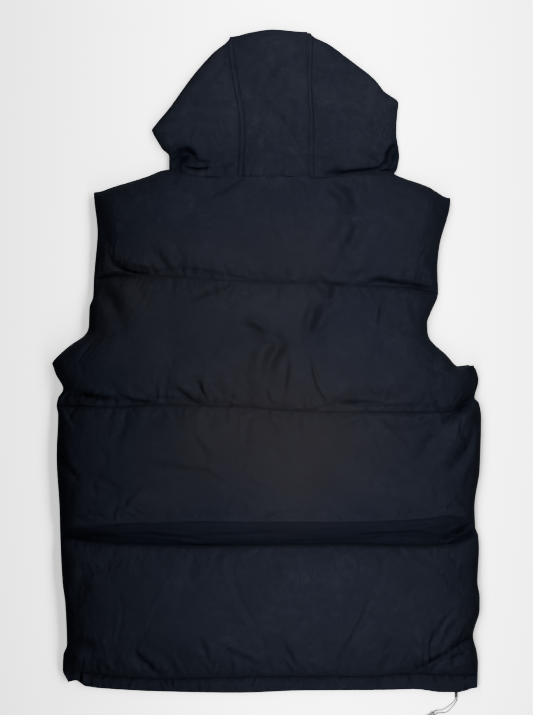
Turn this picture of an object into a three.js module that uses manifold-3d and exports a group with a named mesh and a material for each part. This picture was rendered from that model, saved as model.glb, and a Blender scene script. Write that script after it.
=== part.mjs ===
// Hooded puffer vest, laid flat on its front with its back up.
// Sizes are millimetres. +X runs across the vest, +Y towards the hood, +Z up from the surface it lies on.
// The origin is the middle of the vest's outline, on that surface.
//
// The vest lies in two layers. The back panel is the upper one. Under it are the two front panels,
// which the zip joins. The hood's three panels each wrap from the upper layer round into the lower one.

import * as THREE from "three";
import Module from "manifold-3d";

// How the layers lie
const SEAM_GAP = 0.3; // between any two pieces that are sewn together
const LAYER_GAP = 1.5; // between the two layers, inside the body
const LAYER_GAP_SLOPE = 12; // how far in from an edge the layers are that far apart
const NECK_EASE = 0.3; // more room along the curved front neckline
const BODY_LAYER_HEIGHT = 19; // where the two layers meet, inside the body
const EDGE_LAYER_HEIGHT = 10; // the same, along the body's edges, the zip and the hood
const HEM_LAYER_HEIGHT = 5.5; // the same, along the hem
const LAYER_SLOPE = 70; // how far in from an edge the layers reach their full height
const HEM_SLOPE = 80;
const HEM_SLOPE_START = -430;

// Padding
const SEAM_THICKNESS = 3; // both fabrics and the flattened filling, at a line of quilting
const BACK_LOFT = 24; // how far a baffle of the back swells above its seams
const BACK_SINKING = 0.25; // how far the back's upper face sinks in over the zip
const BAFFLE_ROUND = { lower: 38, upper: 56 }; // how far from a seam a baffle has swelled fully
const SIDE_ROUND = 34;
const SHOULDER_ROUND = 42;
const NECK_ROUND = 46;
const FRONT_ROUND = 26;
const FRONT_FLATTENING = 1.2; // above 1, the fronts are pressed flat in the middle of each baffle

// Hem band, a flat channel for the drawcord
const HEM_THICKNESS = 5.5;
const HEM_EDGE_SHARE = 0.62; // its thickness along both edges, as a share of that

// Zip, down the middle of the front
const ZIP_X = 6;
const ZIP_HALF_OPENING = 10.3; // from the middle to each front panel's edge
const TAPE_WIDTH = 9.6;
const TAPE_THICKNESS = 1;
const TAPE_GAP = 0.8; // between the two tapes
const TAPE_DROP = 0.4; // below the line where the layers meet
const TEETH_WIDTH = 6;
const TEETH_THICKNESS = 2.2;
const ZIP_TOP = 232;
const ZIP_BOTTOM = -449;
const SLIDER_Y = 219;
const ZIP_BOX = { length: 11, width: 8, thickness: 3.2 };
const TEETH_SHORT = 3; // the teeth end this far below the top of the tapes

// Hood
const HOOD_LOFT = 8;
const HOOD_FOLD_ROUND = 24;
const HOOD_SEAM_ROUND = 26;
const HOOD_FOLD_WALL = 4; // the wall's thickness round the outer fold
const HOOD_HALF_HOLLOW = 0.5; // half of the space left between the hood's layers
const CROWN_WALL = 4; // the side panels' wall at the crown, where they meet the centre panel
const FOREHEAD_Y = 396; // where the centre panel ends, on the underside
const FRONT_NECK_Y = 175; // the lowest point of the front neckline
const FRONT_NECK_CURVE = 1.8; // 1 would be a straight neckline, more is rounder
const CHIN = 0.3; // the share of a side panel's height that the zip closes
const FOREHEAD = 0.75; // the share at which the face edge meets the centre panel

// The outline of the body, from the hem up
const LEFT_EDGE = [
  { y: -440, x: -273 },
  { y: -423, x: -280 },
  { y: -402, x: -279 },
  { y: -388, x: -274 },
  { y: -334, x: -276 },
  { y: -301, x: -280 },
  { y: -240, x: -283 },
  { y: -203, x: -284 },
  { y: -129, x: -288 },
  { y: -73, x: -286 },
  { y: -61, x: -288 },
  { y: -50, x: -286 },
  { y: -38, x: -279 },
  { y: -18, x: -289 },
  { y: -3, x: -294 },
  { y: 22, x: -270 },
  { y: 38, x: -248 },
  { y: 48, x: -244 },
  { y: 74, x: -243 },
  { y: 89, x: -238 },
  { y: 113, x: -237 },
  { y: 137, x: -235 },
  { y: 176, x: -232 },
  { y: 232, x: -237 },
];
const RIGHT_EDGE = [
  { y: -448, x: 289 },
  { y: -414, x: 290 },
  { y: -397, x: 288 },
  { y: -376, x: 283 },
  { y: -339, x: 292 },
  { y: -322, x: 292 },
  { y: -303, x: 289 },
  { y: -255, x: 291 },
  { y: -238, x: 290 },
  { y: -227, x: 286 },
  { y: -199, x: 285 },
  { y: -147, x: 292 },
  { y: -76, x: 294 },
  { y: -59, x: 291 },
  { y: -48, x: 284 },
  { y: -25, x: 284 },
  { y: -4, x: 276 },
  { y: 1, x: 262 },
  { y: 17, x: 248 },
  { y: 43, x: 221 },
  { y: 56, x: 220 },
  { y: 69, x: 225 },
  { y: 94, x: 235 },
  { y: 125, x: 234 },
  { y: 150, x: 236 },
  { y: 224, x: 252 },
];
// At the right underarm the front panel stands out from under the back
const UNDERARM_STEP = { low: -52, high: -2, width: 3 };
// The front panels' armholes are cut further in than the back's
const FRONT_ARMHOLE = { low: 0, high: 215, depth: 14 };

// The lines of quilting, with the hem and the top edge, across the body
const HEM_EDGE = [
  { x: -273, y: -440 },
  { x: -262, y: -438 },
  { x: -248, y: -446 },
  { x: -209, y: -450 },
  { x: -148, y: -453 },
  { x: -41, y: -455 },
  { x: 46, y: -452 },
  { x: 169, y: -451 },
  { x: 202, y: -450 },
  { x: 240, y: -454 },
  { x: 262, y: -454 },
  { x: 289, y: -448 },
];
const HEM_SEAM = [
  { x: -280, y: -423 },
  { x: -209, y: -430 },
  { x: -140, y: -434 },
  { x: 26, y: -431 },
  { x: 143, y: -431 },
  { x: 190, y: -427 },
  { x: 290, y: -429 },
];
const LOW_SEAM = [
  { x: -283, y: -240 },
  { x: -242, y: -246 },
  { x: -202, y: -249 },
  { x: -77, y: -252 },
  { x: 95, y: -250 },
  { x: 202, y: -252 },
  { x: 256, y: -250 },
  { x: 290, y: -238 },
];
const MID_SEAM = [
  { x: -288, y: -61 },
  { x: -209, y: -62 },
  { x: -158, y: -59 },
  { x: -33, y: -62 },
  { x: 19, y: -66 },
  { x: 92, y: -68 },
  { x: 207, y: -69 },
  { x: 250, y: -68 },
  { x: 284, y: -50 },
];
const HIGH_SEAM = [
  { x: -237, y: 113 },
  { x: -209, y: 117 },
  { x: -155, y: 117 },
  { x: -43, y: 110 },
  { x: 92, y: 105 },
  { x: 194, y: 101 },
  { x: 235, y: 94 },
];
const TOP_EDGE = [
  { x: -237, y: 232 },
  { x: -201, y: 240.5 },
  { x: -168, y: 250.5 },
  { x: -134, y: 261.5 },
  { x: -98, y: 256 },
  { x: -43, y: 252.5 },
  { x: 11, y: 252 },
  { x: 57, y: 253 },
  { x: 107, y: 256 },
  { x: 159, y: 260 },
  { x: 184, y: 251 },
  { x: 220, y: 238 },
  { x: 252, y: 224 },
];
// Just above the low seam the baffle hangs over it, as a flat strip that ends in a sharp ridge
const OVERHANG = { height: 30, share: 0.8 };

const FOLDED_PUFF = 0.6; // folds have their full depth where a baffle has swelled this far
const FOLD_END = 0.55; // a fold's depth at its ends, as a share of its depth in the middle
// The largest folds of the back: a trough's depth is above 0, a ridge's below it
const BACK_FOLDS = [
  { x1: -214, y1: 138, x2: -152, y2: 121, width: 15, depth: 9 },
  { x1: -228, y1: 100, x2: -200, y2: 66, width: 20, depth: 7 },
  { x1: -28, y1: 48, x2: 10, y2: 26, width: 14, depth: 4 },
  { x1: 12, y1: 30, x2: 4, y2: -20, width: 15, depth: 5 },
  { x1: 78, y1: 98, x2: 52, y2: 42, width: 15, depth: 5 },
  { x1: 88, y1: 242, x2: 106, y2: 204, width: 16, depth: 4 },
  { x1: 131, y1: 192, x2: 105, y2: 140, width: 18, depth: 5 },
  { x1: 242, y1: -80, x2: 205, y2: -136, width: 17, depth: 7 },
  { x1: 280, y1: -88, x2: 252, y2: -145, width: 14, depth: 5 },
  { x1: -148, y1: -139, x2: -60, y2: -168, width: 14, depth: 4 },
  { x1: -117, y1: -268, x2: -181, y2: -387, width: 13, depth: -3 },
  { x1: -43, y1: -285, x2: -6, y2: -390, width: 18, depth: 4 },
  { x1: 136, y1: -329, x2: 101, y2: -400, width: 15, depth: 4 },
  { x1: 284, y1: -381, x2: 224, y2: -418, width: 20, depth: 7 },
  { x1: -184, y1: -397, x2: -146, y2: -428, width: 15, depth: 5 },
];

// The hood's outline, from the neck to the crown
const HOOD_LEFT = [
  { y: 261.5, x: -134 },
  { y: 280, x: -134 },
  { y: 295, x: -145 },
  { y: 317, x: -158 },
  { y: 346, x: -135 },
  { y: 395, x: -99 },
  { y: 423, x: -74 },
  { y: 445, x: -51 },
];
const HOOD_RIGHT = [
  { y: 260, x: 159 },
  { y: 268, x: 174 },
  { y: 286, x: 182 },
  { y: 313, x: 178 },
  { y: 336, x: 179 },
  { y: 354, x: 181 },
  { y: 371, x: 161 },
  { y: 386, x: 149 },
  { y: 414, x: 114 },
  { y: 434, x: 87 },
  { y: 450, x: 61 },
];
const HOOD_CROWN = [
  { x: -46, y: 446 },
  { x: -24, y: 451 },
  { x: 7, y: 455.5 },
  { x: 56, y: 452 },
];
// The seams between the hood's centre panel and its sides
const HOOD_SEAM_LEFT = [
  { y: 253, x: -32 },
  { y: 318, x: -29.7 },
  { y: 345, x: -32.2 },
  { y: 375, x: -37.9 },
  { y: 445, x: -46.3 },
];
const HOOD_SEAM_RIGHT = [
  { y: 253, x: 56.7 },
  { y: 318, x: 57 },
  { y: 385, x: 54.3 },
  { y: 450, x: 55.9 },
];
const HOOD_FOLDS = [
  { x1: -127, y1: 284, x2: -98, y2: 290, width: 13, depth: 5 },
  { x1: -112, y1: 268, x2: -44, y2: 268, width: 12, depth: 3 },
  { x1: 178, y1: 292, x2: 160, y2: 274, width: 13, depth: 4 },
];

// Drawcord, a loop of thin elastic out of the hem's right end, with a cord lock on it
const CORD_DIAMETER = 1.8;
const CORD_SLEEVE = { x: 260, z: 2.8, length: 7, radius: 2.4 };
const LYING_GAP = 0.25; // the cord and its lock lie this far clear of the surface
const CORD_GAP = 0.4; // between the sleeve's mouth and the cord's ends
const CORD_LOCK = { length: 18, width: 10, thickness: 7, boreRadius: 1.35, boreSpacing: 4 };
const CORD_LOCK_CENTRE = { x: 222.5, y: -488.5 };
const CORD_LOCK_ANGLE = THREE.MathUtils.degToRad(215); // the way its loop end points
const CORD_LOOP = { reach: 14, halfWidth: 4.4 };

// How finely the surfaces are divided
const BODY_COLUMNS = 30;
const FRONT_COLUMNS = 10;
const BAFFLE_ROWS = 8;
const HEM_ROWS = 3;
const HOOD_ROWS = [4, 6, 3]; // along the zip, along the face and along the centre panel's underside
const HOOD_TOP_STATIONS = 6;
const HOOD_UNDER_STATIONS = 8;
const HOOD_CENTRE_COLUMNS = 5;
const HOOD_CENTRE_TOP_ROWS = 12;
const HOOD_CENTRE_UNDER_ROWS = 5;
const ZIP_PITCH = 32;

const SHELL = { color: 0x23262e, roughness: 0.62, metalness: 0 };
const TAPE = { color: 0x15161a, roughness: 0.85, metalness: 0 };
const PLASTIC = { color: 0x0c0d10, roughness: 0.4, metalness: 0 };
const METAL = { color: 0x2a2c30, roughness: 0.35, metalness: 0.9 };
const ELASTIC = { color: 0x3a3b3e, roughness: 0.8, metalness: 0 };

const wasm = await Module();
wasm.setup();

const clamp = (t) => Math.min(1, Math.max(0, t));
const mix = (a, b, t) => a + (b - a) * t;
const smooth = (t) => clamp(t) ** 2 * (3 - 2 * clamp(t));
const rise = (t) => Math.sqrt(1 - (1 - clamp(t)) ** 2); // a quarter round, steep at 0 and level at 1

// Reads a table as a smooth curve that never overshoots its rows
function read(table, from, to, value) {
  const last = table.length - 1;
  if (value <= table[0][from]) return table[0][to];
  if (value >= table[last][from]) return table[last][to];
  const k = table.findIndex((row) => row[from] > value) - 1;
  const slope = (i) => (table[i + 1][to] - table[i][to]) / (table[i + 1][from] - table[i][from]);
  const tangent = (i) => {
    if (i === 0 || i === last) return 0;
    const [before, after] = [slope(i - 1), slope(i)];
    return before * after <= 0 ? 0 : (2 * before * after) / (before + after);
  };
  const span = table[k + 1][from] - table[k][from];
  const t = (value - table[k][from]) / span;
  return (
    table[k][to] * (1 + 2 * t) * (1 - t) ** 2 +
    tangent(k) * span * t * (1 - t) ** 2 +
    table[k + 1][to] * t * t * (3 - 2 * t) +
    tangent(k + 1) * span * t * t * (t - 1)
  );
}
const acrossAt = (table, y) => read(table, "y", "x", y);
const heightAt = (table, x) => read(table, "x", "y", x);

// Steps from 0 to 1 that are closer together near both ends
function clustered(count, amount) {
  return Array.from({ length: count + 1 }, (_, k) => {
    const even = k / count;
    return mix(even, 0.5 - 0.5 * Math.cos(Math.PI * even), amount);
  });
}

function foldDepth(folds, x, y) {
  let depth = 0;
  for (const fold of folds) {
    const run = { x: fold.x2 - fold.x1, y: fold.y2 - fold.y1 };
    const along = ((x - fold.x1) * run.x + (y - fold.y1) * run.y) / (run.x ** 2 + run.y ** 2);
    const near = clamp(along);
    const off = Math.hypot(x - fold.x1 - near * run.x, y - fold.y1 - near * run.y);
    const share = mix(FOLD_END, 1, Math.sin(Math.PI * near));
    depth += fold.depth * share * Math.exp(-2 * (off / fold.width) ** 2);
  }
  return depth;
}

// One piece of padded cloth: a closed wall between two grids of points with the same rows and columns
function wall(name, outer, inner, finish) {
  const [rows, columns] = [outer.length, outer[0].length];
  const positions = [...outer.flat(), ...inner.flat()].flat();
  const index = [];
  const quad = (a, b, c, d) => index.push(a, b, c, a, c, d);
  const at = (side, row, column) => side * rows * columns + row * columns + column;
  const [top, end] = [rows - 1, columns - 1];
  for (let row = 0; row + 1 < rows; row++) {
    for (let column = 0; column + 1 < columns; column++) {
      quad(at(0, row, column), at(0, row, column + 1), at(0, row + 1, column + 1), at(0, row + 1, column));
      quad(at(1, row, column), at(1, row + 1, column), at(1, row + 1, column + 1), at(1, row, column + 1));
    }
  }
  for (let column = 0; column + 1 < columns; column++) {
    quad(at(1, 0, column), at(1, 0, column + 1), at(0, 0, column + 1), at(0, 0, column));
    quad(at(0, top, column), at(0, top, column + 1), at(1, top, column + 1), at(1, top, column));
  }
  for (let row = 0; row + 1 < rows; row++) {
    quad(at(1, row + 1, 0), at(1, row, 0), at(0, row, 0), at(0, row + 1, 0));
    quad(at(0, row + 1, end), at(0, row, end), at(1, row, end), at(1, row + 1, end));
  }
  const corner = (k) => new THREE.Vector3().fromArray(positions, 3 * index[k]);
  let volume = 0;
  for (let k = 0; k < index.length; k += 3) volume += corner(k).dot(corner(k + 1).cross(corner(k + 2)));
  if (volume < 0) index.reverse();
  const geometry = new THREE.BufferGeometry();
  geometry.setAttribute("position", new THREE.Float32BufferAttribute(positions, 3));
  geometry.setIndex(index);
  geometry.computeVertexNormals();
  return named(name, geometry, finish);
}

function named(name, geometry, finish) {
  const mesh = new THREE.Mesh(geometry, new THREE.MeshStandardMaterial(finish));
  mesh.name = name;
  return mesh;
}

// The body's outline and the height at which its two layers meet

function frontEdge(side, y) {
  const edge = side < 0 ? acrossAt(LEFT_EDGE, y) : acrossAt(RIGHT_EDGE, y);
  const bow = ({ low, high }) => Math.sin(Math.PI * clamp((y - low) / (high - low)));
  const step = side > 0 ? UNDERARM_STEP.width * bow(UNDERARM_STEP) : 0;
  return edge - side * FRONT_ARMHOLE.depth * bow(FRONT_ARMHOLE) + step;
}

// The front panels' top edge: the shoulder, then the neckline down to the zip
function frontTop(x) {
  const side = x < ZIP_X ? -1 : 1;
  const neck = (side < 0 ? HOOD_LEFT : HOOD_RIGHT)[0].x;
  const zipEdge = ZIP_X + side * ZIP_HALF_OPENING;
  const share = (x - zipEdge) / (neck - zipEdge);
  if (share >= 1) return heightAt(TOP_EDGE, x);
  return mix(FRONT_NECK_Y, heightAt(TOP_EDGE, neck), clamp(share) ** FRONT_NECK_CURVE);
}

function edgeLayer(y) {
  return mix(HEM_LAYER_HEIGHT, EDGE_LAYER_HEIGHT, smooth((y - HEM_SLOPE_START) / HEM_SLOPE));
}

// Where the two layers meet: lower along the edges, and along the zip as far as a layer sinks into it
function layerHeight(x, y, sinking) {
  const fromEdges = Math.min(
    x - acrossAt(LEFT_EDGE, y),
    acrossAt(RIGHT_EDGE, y) - x,
    y - heightAt(HEM_SEAM, x),
    frontTop(x) - y,
  );
  const fromZip = Math.abs(x - ZIP_X) - ZIP_HALF_OPENING;
  const level = (distance) => mix(edgeLayer(y), BODY_LAYER_HEIGHT, smooth(distance / LAYER_SLOPE));
  return mix(level(fromEdges), level(Math.min(fromEdges, fromZip)), sinking);
}

// Half of the gap between the layers, which opens up inside the body
function halfLayerGap(x, y) {
  const inset = Math.min(x - acrossAt(LEFT_EDGE, y), acrossAt(RIGHT_EDGE, y) - x, y - heightAt(HEM_SEAM, x));
  const fromOpening = Math.min(frontTop(x) - y, Math.abs(x - ZIP_X) - ZIP_HALF_OPENING);
  return mix(SEAM_GAP, LAYER_GAP, clamp(Math.min(inset, fromOpening) / LAYER_GAP_SLOPE)) / 2;
}

// The four baffles between the lines of quilting, from the hem up
const BAFFLES = [
  { lower: HEM_SEAM, upper: LOW_SEAM },
  { lower: LOW_SEAM, upper: MID_SEAM, overhang: true },
  { lower: MID_SEAM, upper: HIGH_SEAM },
  { lower: HIGH_SEAM, upper: TOP_EDGE, top: true },
];

// How far a baffle has swelled, from 0 at its seams to 1, at a distance from each
function swell(baffle, aboveLower, belowUpper) {
  const lower = baffle.overhang
    ? clamp(aboveLower / OVERHANG.height) * OVERHANG.share +
      (1 - OVERHANG.share) * rise((aboveLower - OVERHANG.height) / BAFFLE_ROUND.upper)
    : rise(aboveLower / BAFFLE_ROUND.lower);
  return lower * rise(belowUpper / (baffle.top ? NECK_ROUND : BAFFLE_ROUND.upper));
}

function eachBaffleRow(make) {
  const rows = [];
  for (const baffle of BAFFLES) {
    const steps = clustered(BAFFLE_ROWS, 0.9);
    if (baffle !== BAFFLES[0]) steps.shift();
    for (const t of steps) rows.push(make(baffle, t));
  }
  return rows;
}

const rowEnd = (baffle, t, end) => mix(baffle.lower.at(end).y, baffle.upper.at(end).y, t);

function backPanel() {
  const outer = [];
  const inner = [];
  eachBaffleRow((baffle, t) => {
    const left = acrossAt(LEFT_EDGE, rowEnd(baffle, t, 0));
    const right = acrossAt(RIGHT_EDGE, rowEnd(baffle, t, -1));
    const points = clustered(BODY_COLUMNS, 0.5).map((u) => {
      const x = mix(left, right, u);
      const lower = heightAt(baffle.lower, x) + (baffle === BAFFLES[0] ? SEAM_GAP / 2 : 0);
      const upper = heightAt(baffle.upper, x) - (baffle.top ? SEAM_GAP / 2 : 0);
      const y = mix(lower, upper, t);
      const fromSide = Math.min(x - left, right - x);
      const sideRound = baffle.top ? SHOULDER_ROUND : SIDE_ROUND;
      const puff = swell(baffle, y - lower, upper - y) * rise(fromSide / sideRound);
      const gap = halfLayerGap(x, y);
      const base = layerHeight(x, y, BACK_SINKING) + gap + SEAM_THICKNESS;
      const dip = foldDepth(BACK_FOLDS, x, y) * smooth(puff / FOLDED_PUFF);
      return { x, y, low: layerHeight(x, y, 1) + gap, high: base + BACK_LOFT * puff - dip };
    });
    outer.push(points.map((p) => [p.x, p.y, p.high]));
    inner.push(points.map((p) => [p.x, p.y, p.low]));
  });
  return wall("back_panel", outer, inner, SHELL);
}

function frontPanel(name, side) {
  const outer = [];
  const inner = [];
  const zipEdge = ZIP_X + side * ZIP_HALF_OPENING;
  eachBaffleRow((baffle, t) => {
    const edge = frontEdge(side, rowEnd(baffle, t, side < 0 ? 0 : -1));
    const points = clustered(FRONT_COLUMNS, 0.5).map((u) => {
      const x = mix(edge, zipEdge, u);
      const lower = heightAt(baffle.lower, x) + (baffle === BAFFLES[0] ? SEAM_GAP / 2 : 0);
      const upper = baffle.top ? frontTop(x) - SEAM_GAP / 2 - NECK_EASE : heightAt(baffle.upper, x);
      const y = mix(lower, upper, t);
      const inward = [y - lower, upper - y, Math.min(Math.abs(x - edge), Math.abs(zipEdge - x))];
      const round = inward.reduce((product, distance) => product * rise(distance / FRONT_ROUND), 1);
      const top = layerHeight(x, y, 1) - halfLayerGap(x, y);
      return { x, y, top, floor: (top - SEAM_THICKNESS) * (1 - Math.min(1, FRONT_FLATTENING * round)) };
    });
    outer.push(points.map((p) => [p.x, p.y, p.floor]));
    inner.push(points.map((p) => [p.x, p.y, p.top]));
  });
  return wall(name, outer, inner, SHELL);
}

// A length of the hem band between two places across the vest
function hemBand(name, from, to, columns, layer) {
  const outer = [];
  const inner = [];
  for (const t of clustered(HEM_ROWS, 0)) {
    const points = clustered(columns, 0.5).map((u) => {
      const x = mix(from(t), to(t), u);
      const y = mix(heightAt(HEM_EDGE, x), heightAt(HEM_SEAM, x) - SEAM_GAP / 2, t);
      const fullness = mix(HEM_EDGE_SHARE, 1, Math.sin(Math.PI * t)) * HEM_THICKNESS;
      const seam = HEM_LAYER_HEIGHT + layer * (SEAM_GAP / 2);
      return { x, y, seam, face: Math.max(0, seam + layer * fullness) };
    });
    outer.push(points.map((p) => [p.x, p.y, p.face]));
    inner.push(points.map((p) => [p.x, p.y, p.seam]));
  }
  return wall(name, outer, inner, SHELL);
}

function hemBands() {
  const left = (t) => acrossAt(LEFT_EDGE, mix(HEM_EDGE[0].y, HEM_SEAM[0].y, t));
  const right = (t) => acrossAt(RIGHT_EDGE, mix(HEM_EDGE.at(-1).y, HEM_SEAM.at(-1).y, t));
  const zip = (side) => () => ZIP_X + side * ZIP_HALF_OPENING;
  return [
    hemBand("hem_back", left, right, BODY_COLUMNS, 1),
    hemBand("hem_front_left", left, zip(-1), FRONT_COLUMNS, -1),
    hemBand("hem_front_right", zip(1), right, FRONT_COLUMNS, -1),
  ];
}

// Zip: two tapes, the closed chain of teeth, the box at the bottom, the slider and its pull

function zipStrip(name, left, right, top, thickness, from, to, finish) {
  const first = Math.floor(from / ZIP_PITCH) + 1;
  const count = Math.ceil(to / ZIP_PITCH) - first;
  const between = Array.from({ length: count }, (_, k) => (first + k) * ZIP_PITCH);
  const rows = [from, ...between, to];
  const face = (z) => rows.map((y) => [left, right].map((x) => [x, y, edgeLayer(y) - z]));
  return wall(name, face(top + thickness), face(top), finish);
}

function block(x1, x2, y1, y2, z1, z2) {
  const geometry = new THREE.BoxGeometry(x2 - x1, y2 - y1, z2 - z1);
  return geometry.translate((x1 + x2) / 2, (y1 + y2) / 2, (z1 + z2) / 2);
}

function crossRod(radius, length, y, z, sides = 16) {
  const rod = new THREE.CylinderGeometry(radius, radius, length, sides);
  return rod.rotateZ(Math.PI / 2).translate(ZIP_X, y, z);
}

// A closed three.js geometry as a solid, and back again
function solid(geometry) {
  const loose = geometry.index ? geometry.toNonIndexed() : geometry;
  const positions = loose.getAttribute("position").array;
  const places = new Map();
  const vertices = [];
  const triangles = [];
  for (let k = 0; k < positions.length; k += 3) {
    const point = [positions[k], positions[k + 1], positions[k + 2]];
    const key = point.map((v) => Math.round(v * 1e4)).join();
    if (!places.has(key)) {
      places.set(key, vertices.length / 3);
      vertices.push(...point);
    }
    triangles.push(places.get(key));
  }
  const kept = [];
  for (let k = 0; k < triangles.length; k += 3) {
    const [a, b, c] = triangles.slice(k, k + 3);
    if (a !== b && b !== c && c !== a) kept.push(a, b, c);
  }
  const [vertProperties, triVerts] = [new Float32Array(vertices), new Uint32Array(kept)];
  return new wasm.Manifold(new wasm.Mesh({ numProp: 3, vertProperties, triVerts }));
}

function geometryOf(body) {
  const { vertProperties, triVerts } = body.getMesh();
  const geometry = new THREE.BufferGeometry();
  geometry.setAttribute("position", new THREE.Float32BufferAttribute(vertProperties, 3));
  geometry.setIndex(Array.from(triVerts));
  geometry.computeVertexNormals();
  return geometry;
}

const TEETH_TOP = TAPE_DROP + TAPE_THICKNESS + SEAM_GAP;
const PULL = { pinZ: 2.2, pinRadius: 0.8, boreRadius: 1.1, eyeRadius: 1.9, eyeWidth: 3.6 };
const PULL_TAB = { length: 34, width: 7, thickness: 1.7, neck: 5 };
const PULL_SLOT = { fromEnd: 4, length: 12, width: 3 };
const SLIDER = { width: 9.4, length: 14, plate: 1.2 };
const LUG = { width: 1.3, length: 4.4, clearance: 0.9 }; // its clearance is from the surface
const SLIDER_FACE = EDGE_LAYER_HEIGHT - TEETH_TOP - TEETH_THICKNESS - SEAM_GAP; // the side next to the teeth

function zipSlider() {
  const underPlate = SLIDER_FACE - SLIDER.plate;
  const lugInside = PULL.eyeWidth / 2 + SEAM_GAP;
  const [half, reach] = [SLIDER.width / 2, SLIDER.length / 2];
  const [plateEnd, plateTop] = [SLIDER_Y - reach, SLIDER_Y + reach];
  const plate = block(ZIP_X - half, ZIP_X + half, plateEnd, plateTop, underPlate, SLIDER_FACE);
  let body = solid(plate);
  for (const side of [-1, 1]) {
    const near = ZIP_X + side * lugInside;
    const far = ZIP_X + side * (lugInside + LUG.width);
    const [y1, y2] = [SLIDER_Y - LUG.length / 2, SLIDER_Y + LUG.length / 2];
    const lug = block(Math.min(near, far), Math.max(near, far), y1, y2, LUG.clearance, underPlate + 0.1);
    body = body.add(solid(lug));
  }
  body = body.add(solid(crossRod(PULL.pinRadius, 2 * lugInside + 1, SLIDER_Y, PULL.pinZ)));
  return named("zip_slider", geometryOf(body), METAL);
}

// The pull hangs from the slider's pin and lies towards the hem
function zipPull() {
  const bottom = PULL.pinZ - PULL.eyeRadius;
  const top = bottom + PULL_TAB.thickness;
  const half = PULL_TAB.width / 2;
  const end = SLIDER_Y - PULL_TAB.length;
  const neckEnd = SLIDER_Y - PULL_TAB.neck;
  const halfEye = PULL.eyeWidth / 2;
  let body = solid(crossRod(PULL.eyeRadius, PULL.eyeWidth, SLIDER_Y, PULL.pinZ, 20));
  body = body.add(solid(block(ZIP_X - halfEye, ZIP_X + halfEye, neckEnd - 1, SLIDER_Y, bottom, top)));
  body = body.add(solid(block(ZIP_X - half, ZIP_X + half, end, neckEnd, bottom, top)));
  body = body.subtract(solid(crossRod(PULL.boreRadius, PULL_TAB.width, SLIDER_Y, PULL.pinZ)));
  const slotEnd = end + PULL_SLOT.fromEnd;
  const halfSlot = PULL_SLOT.width / 2;
  const slot = block(ZIP_X - halfSlot, ZIP_X + halfSlot, slotEnd, slotEnd + PULL_SLOT.length, -1, top + 1);
  return named("zip_pull", geometryOf(body.subtract(solid(slot))), METAL);
}

function zip() {
  const half = TEETH_WIDTH / 2;
  const [left, right] = [ZIP_X - half, ZIP_X + half];
  const boxBottom = ZIP_BOTTOM + 1;
  const [teethBottom, teethEnd] = [boxBottom + ZIP_BOX.length, ZIP_TOP - TEETH_SHORT];
  const boxTop = HEM_LAYER_HEIGHT - TEETH_TOP;
  const halfBox = ZIP_BOX.width / 2;
  const box = block(
    ZIP_X - halfBox,
    ZIP_X + halfBox,
    boxBottom,
    teethBottom - SEAM_GAP,
    boxTop - ZIP_BOX.thickness,
    boxTop,
  );
  const strip = (name, from, to) =>
    zipStrip(name, from, to, TAPE_DROP, TAPE_THICKNESS, ZIP_BOTTOM, ZIP_TOP, TAPE);
  const [near, far] = [TAPE_GAP / 2, TAPE_GAP / 2 + TAPE_WIDTH];
  return [
    strip("zip_tape_left", ZIP_X - far, ZIP_X - near),
    strip("zip_tape_right", ZIP_X + near, ZIP_X + far),
    zipStrip("zip_teeth", left, right, TEETH_TOP, TEETH_THICKNESS, teethBottom, teethEnd, PLASTIC),
    named("zip_box", box, PLASTIC),
    zipSlider(),
    zipPull(),
  ];
}

// Hood: each panel is one wall that runs over the top, round the outer fold and back along the underside

// How high the face of the wall stands from the hood's middle height, in the upper and the lower layer
function hoodUpper(fromFold, fromSeams) {
  return rise(fromFold / HOOD_FOLD_ROUND) * (SEAM_THICKNESS + HOOD_LOFT * fromSeams);
}

function hoodLower(fromFold, fromSeams) {
  const full = Math.min(1, FRONT_FLATTENING * fromSeams);
  return rise(fromFold / HOOD_FOLD_ROUND) * mix(SEAM_THICKNESS, EDGE_LAYER_HEIGHT, full);
}

// On the underside the seams of the centre panel run straight from the crown to the forehead
function underSeam(seam, y) {
  const crown = seam.at(-1);
  return mix(acrossAt(seam, FOREHEAD_Y), crown.x, (y - FOREHEAD_Y) / (crown.y - FOREHEAD_Y));
}

function hoodRows() {
  const ends = [0, CHIN, FOREHEAD, 1];
  const steps = (count, k) => clustered(count, 0.3).slice(1).map((t) => mix(ends[k], ends[k + 1], t));
  return [0, ...HOOD_ROWS.flatMap(steps)];
}

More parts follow.
